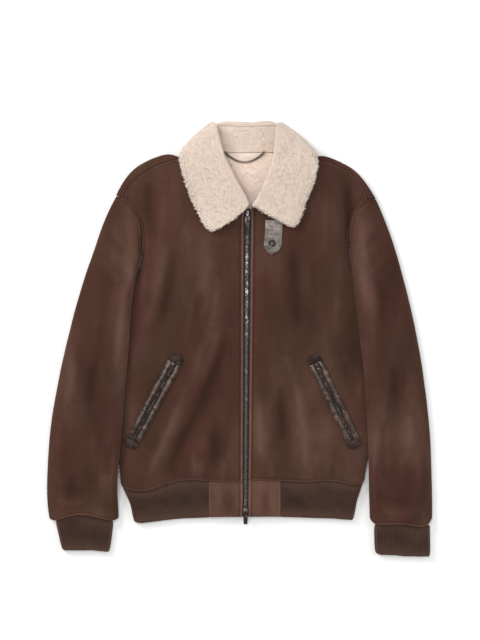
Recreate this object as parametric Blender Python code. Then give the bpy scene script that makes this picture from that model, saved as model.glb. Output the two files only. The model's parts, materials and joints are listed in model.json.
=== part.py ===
"""Suede shearling bomber jacket, zipped up and laid flat on its back.

The jacket lies on the surface z = 0 with its fronts up (+Z), its collar towards +Y and the wearer's
left towards +X. Every panel is a wall of shearling: suede outside, shorn fleece inside. Right and left
are the wearer's, so the right side has negative x. All tables and sizes are in millimetres.
"""

from collections import namedtuple
from math import asin, atan2, cos, exp, hypot, pi, radians, sin, sqrt

import bmesh
import bpy
from mathutils import Vector
from mathutils.bvhtree import BVHTree

MM = 0.001
PLAN_CENTRE = (1.0, -1.2)  # middle of the whole jacket's outline, which becomes the origin

# ---- cloth ----
WALL = 8.0  # shearling panel: skin and shorn fleece
AIR = 1.0  # between a front and the back that it lies on
SEAM = 0.4  # between pieces that are sewn together
BACK_TOP = WALL
FRONT_LOW = WALL + AIR
FRONT_TOP = 2 * WALL + AIR
COLLAR_WALL = 10.0  # longer wool on the collar
COLLAR_LIFT = 11.3  # the folded collar lies under the back's neck and lifts it
SIDE_ROUND = 9.0  # how far in from a side fold the cloth reaches its full height
PUFF = 3.0  # air held under the fronts away from their edges
RIB_WALL = 5.0  # folded double rib knit
RIB_RISE = 0.9
RIB_PITCH = 4.0
RIB_LAYERS = 2 * RIB_WALL + AIR

SUEDE = ("suede", (0.085, 0.043, 0.030), 0.95, 0.0)
FLEECE = ("fleece", (0.66, 0.54, 0.45), 1.0, 0.0)
RIB = ("rib_knit", (0.060, 0.036, 0.028), 0.95, 0.0)
LEATHER = ("smooth_leather", (0.045, 0.024, 0.018), 0.35, 0.0)
GREY_LEATHER = ("grey_leather", (0.17, 0.14, 0.12), 0.5, 0.0)
STEEL = ("dark_nickel", (0.30, 0.29, 0.28), 0.3, 1.0)
TAPE = ("zip_tape", (0.020, 0.014, 0.012), 0.9, 0.0)
BRAID = ("braid", (0.05, 0.025, 0.018), 0.85, 0.0)

Point = namedtuple("Point", "x y")
Fold = namedtuple("Fold", "from_x from_y via_x via_y to_x to_y half_width height")
Station = namedtuple("Station", "outer_x outer_y inner_x inner_y lies_over")
CollarLine = namedtuple("CollarLine", "roll_x roll_y edge_x edge_y curl_to_back")
StandRow = namedtuple("StandRow", "y low_x high_x")
Pocket = namedtuple("Pocket", "side top_x top_y low_x low_y")
CapRow = namedtuple("CapRow", "length narrow")
Slider = namedtuple("Slider", "length width height foot_width foot_depth pull_length pull_width pull_thick")
PullRow = namedtuple("PullRow", "length width thickness")


def points(*pairs):
    """A list of plan points."""
    return [Point(*pair) for pair in pairs]


# ---- outlines, as seen from above ----
ARMHOLE = {
    "right": points((-224, 259), (-211, 256), (-201, 246), (-187, 225), (-179, 207), (-177, 184), (-177, 168),
                    (-177, 158)),
    "left": points((250, 253), (234, 254), (221, 248), (211, 234), (205, 218), (201, 200), (200, 186), (200, 177)),
}
# Below the armhole the sleeve rises onto the body; the body's edge then runs out under it to the underarm
UNDER_SLEEVE = {
    "right": points((-178, 138), (-185.5, 114), (-206, 90), (-230, 60), (-248, 29), (-247, -30), (-240, -90),
                    (-231, -150), (-222, -205), (-217, -245), (-216, -264)),
    "left": points((202, 150), (204.7, 122), (224, 98), (250, 66), (273, 36), (268, -30), (260, -90),
                   (250, -150), (239, -205), (231, -240), (229, -258)),
}
SHOULDER = {
    "right": points((-224, 259), (-222, 270), (-209, 288), (-197, 305), (-182, 316), (-166, 324), (-140, 334),
                    (-122, 337)),
    "left": points((250, 253), (240, 270), (228, 288), (213, 306), (195, 316), (177, 325), (160, 331), (148, 334)),
}
FORWARD_SEAM = {
    "right": points((-211, 256), (-204, 274), (-198, 284), (-177, 300), (-154, 313), (-115, 325)),
    "left": points((234, 254), (227, 272), (218, 286), (205, 300), (191, 309), (148, 324)),
}
FRONT_NECK = {
    "right": points((-115, 325), (-96, 318), (-74, 306), (-45, 288), (-18, 264), (8.8, 238)),
    "left": points((148, 324), (130, 314), (108, 300), (80, 279), (50, 255), (22.2, 238)),
}
BACK_NECK = points((-122, 337), (-112, 331), (-104, 324), (-92, 325), (-70, 333), (-45, 337), (16, 337),
                   (76, 337), (101, 333), (122, 325), (133, 323), (141, 328), (148, 334))
HEM_SEAM = {
    "right": points((-216, -264), (-213, -273), (-191, -280), (-165, -279), (-138, -268), (-111, -260), (-74, -258),
                    (-53, -262), (7.2, -263)),
    "left": points((229, -258), (225, -266), (213, -271), (181, -261), (149, -259), (127, -263), (111, -262),
                   (75, -260), (16.8, -258)),
}
ZIP_TOP_Y, ZIP_HEM_Y, ZIP_END_Y = 238.0, -263.0, -326.0
ZIP_EDGE = {
    "right": points((8.8, ZIP_TOP_Y), (7.0, ZIP_END_Y)),
    "left": points((22.2, ZIP_TOP_Y), (16.6, ZIP_END_Y)),
}
RIB_SIDE = {
    "right": points((-213, -274), (-199, -292), (-196, -311), (-191, -335)),
    "left": points((226, -266), (216, -287), (212, -309), (208, -331)),
}
RIB_INNER_X = {"right": -55.0, "left": 76.0}
HEM_BOTTOM = points((-191, -335), (-177, -336.5), (-133, -331), (-111, -328), (-55, -326), (76, -325), (107, -326),
                    (173, -328), (208, -331))

SLEEVE = {
    "right": [
        Station(-238, 233, -178, 138, 0.55), Station(-253, 197, -185.5, 114, 1), Station(-264, 160, -190, 90, 1),
        Station(-278, 124, -194, 60, 1), Station(-289, 87, -196, 29, 1), Station(-300, 51, -198, 0, 1),
        Station(-309, 14, -200, -30, 1), Station(-318, -22, -203, -60, 1), Station(-326, -58, -205.5, -90, 1),
        Station(-333, -95, -207.5, -120, 1), Station(-340, -132, -209.5, -150, 1),
        Station(-345, -168, -212, -178, 1), Station(-348, -205, -214.5, -205, 1),
        Station(-350, -242, -218.5, -240, 1), Station(-351, -275, -220.5, -270, 1),
        Station(-350, -304, -220, -302, 0.1),
    ],
    "left": [
        Station(262, 226, 202, 150, 0.55), Station(276, 190, 204.7, 122, 1), Station(289, 150, 207, 98, 1),
        Station(299, 112, 210.5, 66, 1), Station(309, 75, 214, 36, 1), Station(318, 36, 218, 2, 1),
        Station(326, -4, 222, -30, 1), Station(333, -42, 226, -60, 1), Station(338, -78, 228, -90, 1),
        Station(342.5, -112, 229.5, -120, 1), Station(346, -144, 231, -150, 1), Station(349, -176, 233, -178, 1),
        Station(350.5, -208, 234, -205, 1), Station(351.5, -242, 234.5, -240, 1), Station(352.5, -276, 235, -270, 1),
        Station(353, -304, 237, -302, 0.1),
    ],
}
# From the sleeve's outer fold to its inner one, a point for each of the armhole's
CUFF_SEAM = {
    "right": points((-346, -329), (-338, -333), (-325, -330), (-300, -321), (-277, -321.5), (-247, -329), (-227, -334),
                    (-219, -327)),
    "left": points((352.5, -328), (344, -343), (325, -345), (302, -338), (286, -338.5), (262, -340), (246, -340),
                   (238, -329)),
}
CUFF_TOP_X = {"right": (-334, -230), "left": (346.5, 247.5)}
CUFF_LOW = {"right": points((-322, -386), (-300, -386), (-264, -386), (-245, -388.5), (-237, -389)),
            "left": points((348, -397.5), (304, -397), (282, -395), (260, -394.5), (249, -391.5))}

# ---- folds: ridges up, troughs down ----
FRONT_FOLDS = [
    Fold(-162, 230, -166, 180, -160, 120, 15, -3.0),
    Fold(-133, 225, -150, 130, -158, 60, 16, 1.8),
    Fold(-116, 150, -130, 80, -140, 15, 17, -2.8),
    Fold(-36, 110, -50, -30, -150, -235, 14, 4.0),
    Fold(-18, 20, -50, -90, -130, -240, 17, -3.0),
    Fold(-50, -150, -45, -190, -48, -235, 12, -2.2),
    Fold(98, 160, 104, 90, 110, 15, 12, -3.0),
    Fold(135, 140, 138, 100, 140, 60, 13, -1.8),
    Fold(76, -80, 78, -140, 84, -195, 14, -2.4),
    Fold(36, -120, 38, -170, 40, -225, 10, 2.2),
    Fold(92, -20, 108, -140, 124, -240, 14, 2.6),
    Fold(124, -100, 138, -140, 155, -190, 13, -2.0),
    Fold(170, 200, 176, 150, 182, 90, 14, 1.6),
]
SLEEVE_FOLDS = {
    "right": [
        Fold(-236, 120, -262, 0, -278, -120, 17, -2.6), Fold(-205, 80, -214, 0, -222, -90, 14, 2.0),
        Fold(-262, -200, -258, -240, -250, -290, 14, -2.2), Fold(-310, -230, -306, -260, -300, -300, 13, -2.0),
    ],
    "left": [
        Fold(257, 104, 264, 50, 268, -10, 15, -2.6), Fold(228, 190, 226, 110, 234, 20, 14, 2.4),
        Fold(280, -60, 286, -110, 282, -170, 18, -2.4), Fold(300, -190, 310, -240, 322, -290, 15, 1.8),
    ],
}

# ---- collar: roll line to free edge, from the wing's tip up to the side fold, then round behind the neck ----
WING = {
    "right": [
        CollarLine(18, 243, -50, 194, 0), CollarLine(15, 253, -59, 199, 0), CollarLine(7, 268, -67, 213, 0.6),
        CollarLine(-5, 289, -76, 233, 1), CollarLine(-18, 313, -87, 254, 1), CollarLine(-30, 339, -95, 278, 1),
        CollarLine(-35, 364, -102, 300, 1), CollarLine(-40, 385, -106, 318, 0.6),
    ],
    "left": [
        CollarLine(24, 243, 98, 202, 0), CollarLine(33, 255, 109, 209, 0), CollarLine(42, 275, 117, 235, 0.6),
        CollarLine(50, 295, 123, 253, 1), CollarLine(58, 314, 130, 270, 1), CollarLine(64, 338, 137, 290, 1),
        CollarLine(65, 364, 141, 303, 1), CollarLine(67, 385, 141, 318, 0.6),
    ],
}
COLLAR_SIDE = {"right": CollarLine(-45, 389.5, -106, 336, 0), "left": CollarLine(71.5, 389.5, 138, 336, 0)}
BEHIND_NECK = [
    CollarLine(-37, 391, -82, 328, 0), CollarLine(-29, 395, -54, 323, 0), CollarLine(-10, 393.5, -18, 320, 0),
    CollarLine(14, 392, 16, 320, 0), CollarLine(38, 393.5, 50, 320, 0), CollarLine(58, 394.5, 86, 323, 0),
    CollarLine(65, 391, 114, 328, 0),
]
TIP_BOW = {"right": 7.0, "left": 3.0}

STAND = [
    StandRow(337.5, -43, 73), StandRow(350, -42, 73), StandRow(364, -40, 71), StandRow(374, -37, 67),
    StandRow(381, -31, 61),
]
FALL_CURL = 9.0  # width of the roll's thick edge
UNDER_CURL = 12.0  # how far the roll stands up behind the neck
CURL_CLEAR = 0.9  # over the back's fleece
WING_CLEAR = 1.2
ROLL_RISE = 6.0

# ---- zip edges of the fronts ----
ZIP_GAPS = (2.0, 6.5, 10.0)  # in from the zip: the folded edge, its stitched groove, and the panel
GROOVE = 1.6
FRONT_WIDTH = 225.0
FRONT_COLUMNS = 18
SHOULDER_SHARES = (0, 0.035, 0.2, 0.36, 0.52, 0.68, 0.84, 1)
BACK_HEM_Y = -256.0  # the back's lower edge, which the fronts cover

# ---- sleeves ----
SLEEVE_AIR = 1.5
SLEEVE_LAYERS = 2 * WALL + SLEEVE_AIR
SLEEVE_CROWN = 3.0
SLEEVE_REST = FRONT_TOP + 1.2  # level of a sleeve's underside where it lies on the body
SLEEVE_LEDGE = 10.0  # how far it stays at that level past the body's edge
SLEEVE_SLOPE = 32.0

# ---- what is laid on the panels: heights are over the panel's surface ----
LAID_CLEAR = 0.5
WELT_HIGH, CAP_HIGH, POCKET_ZIP_HIGH, TAB_HIGH = 3.6, 4.2, 2.4, 3.4
POCKETS = [Pocket("right", -109.5, -31, -200, -199), Pocket("left", 132.5, -31, 213.5, -199)]
POCKET_WELT = 10.0
POCKET_ZIP = 5.4
POCKET_CAP = 15.0
POCKET_ROW = 9.0  # about this far between a welt's sections
CAP_ROWS = (CapRow(0, 0.55), CapRow(4, 0.9), CapRow(9, 1), CapRow(POCKET_CAP, 1))

TAB_TOP, TAB_RUN = (63.5, 214.0), (-0.01, -1.0)
TAB_HALF = 15.5
TAB_ROWS = (CapRow(0, 1), CapRow(10, 1), CapRow(20, 1), CapRow(32, 1.02), CapRow(42, 1.04), CapRow(48, 1.05),
            CapRow(55, 0.62), CapRow(60, 0.08))
SNAP_AT, SNAP_RADIUS, SNAP_SIDES = (60.0, 172.0), 7.0, 20
SNAP_HOLE, SNAP_EYE, SNAP_HIGH = 4.6, 1.8, 1.9

LOOP_FROM, LOOP_TO, LOOP_HANG = (-26.0, 336.0), (46.0, 336.0), 17.0
LOOP_HALF, LOOP_HIGH, LOOP_STEPS = 2.6, 2.2, 14

# ---- zips ----
TAPE_LOW, TAPE_HIGH = 9.2, 11.6
CHAIN_HIGH, CHAIN_WIDTH = 14.4, 5.6
METAL_CLEAR = 0.35  # between a slider, its pull and what they touch
FRONT_SLIDER = Slider(13.0, 10.4, 4.2, 0.0, 0.0, 20.5, 8.0, 1.6)
POCKET_SLIDER = Slider(9.0, 7.4, 2.8, 4.4, 1.2, 18.0, 6.4, 1.6)
SLIDER_TAPER = 0.8
TOP_SLIDER_Y, LOW_SLIDER_Y = 222.0, -308.0  # upper ends
TOP_DROOP, LOW_DROOP = 12.0, 30.0  # degrees that a pull hangs down from its slider
PULL_SHAPE = (PullRow(-0.04, 0.6, 0.5), PullRow(0, 0.8, 1), PullRow(0.12, 0.8, 1), PullRow(0.26, 1, 1),
              PullRow(0.86, 0.9, 1), PullRow(1, 0.62, 0.6))
PULL_EDGE = 0.3


# ---- arithmetic ----
def ease(t):
    """0 below 0, 1 above 1, and a smooth step between."""
    t = min(1.0, max(0.0, t))
    return t * t * (3 - 2 * t)


def lerp(a, b, t):
    return a + (b - a) * t


def between(p, q, t):
    return Point(lerp(p[0], q[0], t), lerp(p[1], q[1], t))


def running_lengths(line):
    total, lengths = 0.0, [0.0]
    for p, q in zip(line, line[1:]):
        total += hypot(q[0] - p[0], q[1] - p[1])
        lengths.append(total)
    return lengths


def at_share(line, share):
    """The point at a share of a polyline's length."""
    lengths = running_lengths(line)
    wanted = share * lengths[-1]
    for p, q, low, high in zip(line, line[1:], lengths, lengths[1:]):
        if wanted <= high or high == lengths[-1]:
            return between(p, q, (wanted - low) / max(high - low, 1e-9))


def along(line, shares):
    return [at_share(line, share) for share in shares]


def even(count):
    return [i / count for i in range(count + 1)]


def level_at(line, x):
    """y of a polyline that runs along x, at x; held level past its ends."""
    line = sorted(line)
    if x <= line[0][0]:
        return line[0][1]
    for p, q in zip(line, line[1:]):
        if x <= q[0]:
            return lerp(p[1], q[1], (x - p[0]) / max(q[0] - p[0], 1e-9))
    return line[-1][1]


def across_at(line, y):
    """x of a polyline that runs along y, at y."""
    return level_at([Point(p[1], p[0]) for p in line], y)


def distance_along(line, x, y):
    """Distance from a point to a polyline, and the share of its length where it is nearest."""
    lengths = running_lengths(line)
    best = (1e9, 0.0)
    for k, (p, q) in enumerate(zip(line, line[1:])):
        dx, dy = q[0] - p[0], q[1] - p[1]
        t = ((x - p[0]) * dx + (y - p[1]) * dy) / max(dx * dx + dy * dy, 1e-9)
        t = min(1.0, max(0.0, t))
        gap = hypot(x - p[0] - t * dx, y - p[1] - t * dy)
        if gap < best[0]:
            best = (gap, lerp(lengths[k], lengths[k + 1], t) / lengths[-1])
    return best


def offset(line, gap):
    """A polyline moved sideways by a gap, to the left of its run."""
    moved = []
    for k, p in enumerate(line):
        before, after = line[max(k - 1, 0)], line[min(k + 1, len(line) - 1)]
        dx, dy = after[0] - before[0], after[1] - before[1]
        size = max(hypot(dx, dy), 1e-9)
        moved.append(Point(p[0] - gap * dy / size, p[1] + gap * dx / size))
    return moved


def bent_line(fold, steps=8):
    """A fold's line: from its start, past its middle, to its end."""
    line = []
    for k in range(steps + 1):
        t = k / steps
        line.append(Point(
            (1 - t) ** 2 * fold.from_x + 2 * t * (1 - t) * fold.via_x + t * t * fold.to_x,
            (1 - t) ** 2 * fold.from_y + 2 * t * (1 - t) * fold.via_y + t * t * fold.to_y,
        ))
    return line


def folds_at(folds, x, y):
    """How far the folds raise or lower the cloth at a point: each one dies out at its ends."""
    total = 0.0
    for fold in folds:
        if abs(x - fold.via_x) > 160:
            continue
        gap, share = distance_along(bent_line(fold), x, y)
        total += fold.height * exp(-((gap / fold.half_width) ** 2)) * sqrt(max(0.0, sin(pi * share)))
    return total


# ---- levels of the layers ----
def side_of(x):
    return "right" if x < 13 else "left"


def sleeve_inner_line(side):
    """The fold of the sleeve that lies on the body, from the armhole's foot down to the cuff."""
    return [ARMHOLE[side][-1]] + [Point(s.inner_x, s.inner_y) for s in SLEEVE[side]]


def neck_lift(x, y):
    """How far the collar that lies underneath lifts the body."""
    aside = max(0.0, abs(x - 16) - 105)
    below = max(0.0, 322 - y)
    return COLLAR_LIFT * ease(1 - hypot(aside, below) / 95)


def front_rise(x, y):
    """Air and folds under a front. They die out at the sleeve, the zip, the hem and the collar."""
    side = side_of(x)
    if y < 158:
        from_sleeve = (x - across_at(sleeve_inner_line(side), y)) * (1 if side == "right" else -1)
    else:
        from_sleeve = distance_along(ARMHOLE[side], x, y)[0]
    from_zip = abs(x - across_at(ZIP_EDGE[side], y))
    from_hem = y - level_at(HEM_SEAM[side], x)
    fade = ease(from_sleeve / 26) * ease(from_zip / 24) * ease((from_hem + 4) / 26) * ease((250 - y) / 60)
    return fade * max(0.0, PUFF + folds_at(FRONT_FOLDS, x, y))


def back_top(x, y):
    return BACK_TOP + neck_lift(x, y)


def front_top(x, y):
    return FRONT_TOP + neck_lift(x, y) + front_rise(x, y)


# ---- meshes ----
def material(finish):
    """The finish's Principled material, made once."""
    name, colour, roughness, metallic = finish
    found = bpy.data.materials.get(name)
    if found:
        return found
    made = bpy.data.materials.new(name)
    made.use_nodes = True
    shader = made.node_tree.nodes["Principled BSDF"]
    shader.inputs["Base Color"].default_value = (*colour, 1)
    shader.inputs["Roughness"].default_value = roughness
    shader.inputs["Metallic"].default_value = metallic
    return made


def solid(name, vertices, faces, finish, origin=(0, 0, 0)):
    """A closed mesh object from points in millimetres, its faces turned outwards and its origin placed."""
    shift = Vector((PLAN_CENTRE[0], PLAN_CENTRE[1], 0))
    mesh = bpy.data.meshes.new(name)
    moved = [(Vector(v) - Vector(origin)) * MM for v in vertices]
    mesh.from_pydata(moved, [], faces)
    shape = bmesh.new()
    shape.from_mesh(mesh)
    bmesh.ops.recalc_face_normals(shape, faces=shape.faces)
    shape.to_mesh(mesh)
    shape.free()
    mesh.materials.append(material(finish))
    mesh.shade_smooth()
    mesh.set_sharp_from_angle(angle=radians(50))
    piece = bpy.data.objects.new(name, mesh)
    piece.location = (Vector(origin) - shift) * MM
    bpy.context.scene.collection.objects.link(piece)
    return piece


def wall(name, upper, lower, finish):
    """A solid between two grids of points with the same rows and columns."""
    rows, columns = len(upper), len(upper[0])
    vertices = [p for row in upper for p in row] + [p for row in lower for p in row]
    offset = rows * columns
    faces = []
    for j in range(rows - 1):
        for i in range(columns - 1):
            corner = j * columns + i
            quad = (corner, corner + 1, corner + columns + 1, corner + columns)
            faces.append(quad)
            faces.append(tuple(offset + k for k in reversed(quad)))
    rim = list(range(columns))
    rim += [j * columns + columns - 1 for j in range(1, rows)]
    rim += [(rows - 1) * columns + i for i in range(columns - 2, -1, -1)]
    rim += [j * columns for j in range(rows - 2, 0, -1)]
    for a, b in zip(rim, rim[1:] + rim[:1]):
        faces.append((a, offset + a, offset + b, b))
    return solid(name, vertices, faces, finish)


def loft(name, rings, finish, round_trip=False, origin=(0, 0, 0)):
    """A solid through closed rings with the same number of points; round_trip joins the last to the first."""
    count = len(rings[0])
    vertices = [p for ring in rings for p in ring]
    faces = []
    pairs = list(zip(range(len(rings)), range(1, len(rings))))
    if round_trip:
        pairs.append((len(rings) - 1, 0))
    for a, b in pairs:
        for k in range(count):
            following = (k + 1) % count
            faces.append((a * count + k, a * count + following, b * count + following, b * count + k))
    if not round_trip:
        faces.append(tuple(range(count)))
        faces.append(tuple(range(len(vertices) - 1, len(vertices) - 1 - count, -1)))
    return solid(name, vertices, faces, finish, origin)


def coons(top, bottom, left, right, shares):
    """A grid of plan points that fills four edges. Top and bottom run left to right, the sides run down.

    shares says how far across the grid each column stands.
    """
    grid = []
    for j in range(len(left)):
        v = j / (len(left) - 1)
        row = []
        for i, u in enumerate(shares):
            x, y = (
                (1 - v) * top[i][c] + v * bottom[i][c] + (1 - u) * left[j][c] + u * right[j][c]
                - (1 - u) * (1 - v) * top[0][c] - u * (1 - v) * top[-1][c]
                - (1 - u) * v * bottom[0][c] - u * v * bottom[-1][c]
                for c in (0, 1)
            )
            row.append(Point(x, y))
        grid.append(row)
    return grid


def surface_of(piece):
    """A function that gives the height of a piece's upper surface at a plan point, in millimetres."""
    tree = BVHTree.FromObject(piece, bpy.context.evaluated_depsgraph_get())

    def height(x, y):
        above = Vector(((x - PLAN_CENTRE[0]) * MM, (y - PLAN_CENTRE[1]) * MM, 0.2))
        hit = tree.ray_cast(above, Vector((0, 0, -1)))[0]
        return hit.z / MM if hit else None

    return height


# ---- fronts and back ----

def side_line(side):
    """The body's edge on a side, seen from the sleeve: the armhole, then the side seam."""
    return ARMHOLE[side] + UNDER_SLEEVE[side]


def body_line(side):
    """The body's own edge, a seam's width in from the sleeve."""
    return offset(side_line(side), SEAM if side == "right" else -SEAM)


def front_shares():
    """Shares of a front's width, close together by the side fold and by the zip."""
    beside_zip = [1 - gap / FRONT_WIDTH for gap in reversed(ZIP_GAPS)]
    first, count = 12 / FRONT_WIDTH, FRONT_COLUMNS - len(ZIP_GAPS) - 3
    panel = [lerp(first, beside_zip[0], k / count) for k in range(count)]
    return [0.0, 4 / FRONT_WIDTH] + panel + beside_zip + [1.0]


def front(side):
    """One front, from the forward shoulder seam and the neck to the hem. Returns its lower edge."""
    edge = body_line(side)[1:]
    bottom = along(HEM_SEAM[side], front_shares())
    edge[-1] = bottom[0]
    shoulder = along(FORWARD_SEAM[side], SHOULDER_SHARES)
    shoulder = [edge[0]] + [Point(p.x, p.y - SEAM) for p in shoulder[1:]]
    top = shoulder + along(FRONT_NECK[side], even(10))[1:]
    levels = [lerp(top[-1].y, bottom[-1].y, v) for v in even(len(edge) - 1)]
    centre = [Point(across_at(ZIP_EDGE[side], y), y) for y in levels]
    grid = coons(top, bottom, edge, centre, front_shares())
    upper, lower = [], []
    for j, row in enumerate(grid):
        sewn = 1 - ease((j - len(ARMHOLE[side])) / 3)
        upper.append([])
        lower.append([])
        for p in row:
            ground = neck_lift(*p) + front_rise(*p)
            from_side = hypot(p.x - row[0].x, p.y - row[0].y)
            from_zip = hypot(p.x - row[-1].x, p.y - row[-1].y)
            bend = min(1.0, from_side / SIDE_ROUND)
            rounded = (WALL - 2) * (1 - sqrt(1 - (1 - bend) ** 2))
            sunk = lerp(rounded, 1.2 * (1 - ease(from_side / 6)), sewn)
            sunk += GROOVE * exp(-(((from_zip - ZIP_GAPS[1]) / 1.5) ** 2)) + 1.4 * (1 - ease(from_zip / 3))
            if j in (0, len(grid) - 1):
                sunk = max(sunk, 1.6)
            upper[-1].append((p.x, p.y, FRONT_TOP + ground - sunk))
            lower[-1].append((p.x, p.y, FRONT_LOW + ground))
    wall(f"front_{side}", upper, lower, SUEDE)
    return bottom


def back():
    """The back. It lies on the surface and wraps over each shoulder, up to the forward seam on the front."""
    left, right = body_line("right")[1:], body_line("left")[1:]
    left[-1], right[-1] = Point(left[-1].x, BACK_HEM_Y), Point(right[-1].x, BACK_HEM_Y)
    outline = along(SHOULDER["right"], SHOULDER_SHARES) + along(BACK_NECK, even(12))[1:-1]
    outline += along(SHOULDER["left"], SHOULDER_SHARES)[::-1]
    outline[0], outline[-1] = body_line("right")[0], body_line("left")[0]
    seams = {side: along(FORWARD_SEAM[side], SHOULDER_SHARES) for side in FORWARD_SEAM}
    neck = [Point(p.x, min(p.y - 9, 316)) for p in along(BACK_NECK, even(12))[1:-1]]
    seam = [left[0]] + seams["right"][1:] + neck + seams["left"][:0:-1] + [right[0]]
    last = len(seam) - 1
    shares = [(p.x - seam[0].x) / (seam[-1].x - seam[0].x) for p in seam]
    bottom = [between(left[-1], right[-1], share) for share in shares]
    panel = coons(seam, bottom, left, right, shares)
    upper, lower = [[], [], []], [[], [], []]
    for i, (edge, inner) in enumerate(zip(outline, seam)):
        from_neck = 7 - min(i, last - i)  # columns past the end of the shoulder, which the wrap needs
        folded = lerp(WALL, FRONT_TOP, min(1.0, max(0.0, from_neck / 2)))
        middle, brink = between(edge, inner, 0.45), between(edge, inner, 0.97)
        for k, (p, high, low) in enumerate(((edge, 0.62, 0.34), (middle, 1, 0), (brink, 0.97, 0))):
            upper[k].append((p.x, p.y, neck_lift(*p) + high * folded))
            lower[k].append((p.x, p.y, neck_lift(*p) + low * folded))
    for j, row in enumerate(panel):
        turned = ease((j - len(ARMHOLE["right"])) / 3)
        upper.append([])
        lower.append([])
        for p in row:
            from_side = min(hypot(p.x - end.x, p.y - end.y) for end in (row[0], row[-1]))
            rounding = 4.5 * turned * (1 - ease(from_side / SIDE_ROUND))
            upper[-1].append((p.x, p.y, neck_lift(*p) + BACK_TOP))
            lower[-1].append((p.x, p.y, neck_lift(*p) + rounding))
    wall("back", upper, lower, SUEDE)


# ---- sleeves ----
def sleeve_shares(side):
    lengths = running_lengths(ARMHOLE[side])
    return [length / lengths[-1] for length in lengths]


def sleeve_low(side, x, y, lies_over):
    """A sleeve's underside: on the body as far as the body reaches under it, then down to the surface."""
    out = (x - across_at(side_line(side), y)) * (1 if side == "left" else -1)
    return lies_over * SLEEVE_REST * (1 - ease((out - SLEEVE_LEDGE) / SLEEVE_SLOPE))


def sleeve_section(side, plan, lies_over):
    """Outer and inner rings of a flattened sleeve: points over its upper wall, then back under its lower one."""
    shares = sleeve_shares(side)
    top, low, last = [], [], len(plan) - 1
    for k, (p, share) in enumerate(zip(plan, shares)):
        ground = sleeve_low(side, p.x, p.y, lies_over)
        crown = SLEEVE_CROWN * (1 - (2 * share - 1) ** 2) + folds_at(SLEEVE_FOLDS[side], p.x, p.y)
        full = SLEEVE_LAYERS + crown
        rise = {0: 0.45, 1: 0.88, last - 1: 0.95, last: 0.5}.get(k, 1)
        drop = {0: 0.45, 1: 0.03, last - 1: 0.02, last: 0.5}.get(k, 0)
        top.append((p.x, p.y, ground + rise * full))
        low.append((p.x, p.y, ground + drop * full))
    outer = top + low[-2:0:-1]
    ends = []
    for near, far in ((1, 2), (last - 1, last - 2)):
        p, q = top[near], top[far]
        middle = (low[near][2] + top[near][2] + low[far][2] + top[far][2]) / 4
        ends.append((lerp(p[0], q[0], 0.4), lerp(p[1], q[1], 0.4), middle))
    inner_top = [(x, y, z - WALL) for x, y, z in top[2:-2]]
    inner_low = [(x, y, z + WALL) for x, y, z in low[2:-2]]
    inner = [ends[0]] + inner_top + [ends[1]] + inner_low[::-1]
    return outer, inner


def sleeve(side):
    """A sleeve: a flattened tube of shearling, open at the armhole and at the cuff."""
    armhole, shares = ARMHOLE[side], sleeve_shares(side)
    sections = [sleeve_section(side, armhole, 0)]
    for k, station in enumerate(SLEEVE[side]):
        bow = max(0.0, 1 - (k + 1) / 5) ** 2
        start, end = Point(station.outer_x, station.outer_y), Point(station.inner_x, station.inner_y)
        plan = []
        for p, share in zip(armhole, shares):
            straight, chord = between(start, end, share), between(armhole[0], armhole[-1], share)
            plan.append(Point(straight.x + bow * (p.x - chord.x), straight.y + bow * (p.y - chord.y)))
        sections.append(sleeve_section(side, plan, station.lies_over))
    sections.append(sleeve_section(side, CUFF_SEAM[side], 0))
    tube(f"sleeve_{side}", [s[0] for s in sections], [s[1] for s in sections], SUEDE)


def tube(name, outer_rings, inner_rings, finish):
    """A flattened tube with a wall. Each inner ring's upper and lower runs face the middle of the outer ring's."""
    outer, inner = len(outer_rings[0]), len(inner_rings[0])
    columns = outer // 2  # the outer ring's fold points are 0 and columns, the inner ring's 0 and run + 1
    run = inner // 2 - 1
    rings = len(outer_rings)
    vertices = [p for ring in outer_rings for p in ring] + [p for ring in inner_rings for p in ring]
    base = rings * outer
    faces = []
    for j in range(rings - 1):
        for k in range(outer):
            a, b = j * outer + k, j * outer + (k + 1) % outer
            faces.append((a, b, b + outer, a + outer))
        for k in range(inner):
            a, b = base + j * inner + k, base + j * inner + (k + 1) % inner
            faces.append((a + inner, b + inner, b, a))
    for j in (0, rings - 1):
        o = [j * outer + k for k in range(outer)]
        n = [base + j * inner + k for k in range(inner)]
        turned = ([o[-k % outer] for k in range(outer)], [n[-k % inner] for k in range(inner)])
        for out_ring, in_ring in ((o, n), turned):
            faces.append((out_ring[0], out_ring[1], in_ring[0]))
            for k in range(run + 1):
                faces.append((out_ring[k + 1], out_ring[k + 2], in_ring[k + 1], in_ring[k]))
            faces.append((out_ring[columns - 1], out_ring[columns], in_ring[run + 1]))
    return solid(name, vertices, faces, finish)


# ---- rib knit ----
RIB_ROWS = ((0, 1.5), (0.07, 0.0), (0.5, 0.0), (0.93, 0.0), (1, 1.5))  # share of the height, and how far it dips
TURN_STEPS = 6


def rib_ring(line_x, y_at, out, angle, bulge):
    """Points round a rib band's wall at one place: down its outer face, then up its plain inner one.

    line_x(share) and y_at(x, share) give the band's middle line at a share of its height. The angle turns
    the wall from the upper layer (90 degrees) over the side fold (0) to the lower layer (-90).
    """
    middle = RIB_LAYERS / 2
    faces = [(share, middle - dip + (0 if dip else bulge)) for share, dip in RIB_ROWS]
    faces += [(share, middle - RIB_WALL) for share in (1, 0)]
    ring = []
    for share, reach in faces:
        x = line_x(share) + out * reach * cos(angle)
        ring.append((x, y_at(x, share), middle + reach * sin(angle)))
    return ring


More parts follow.
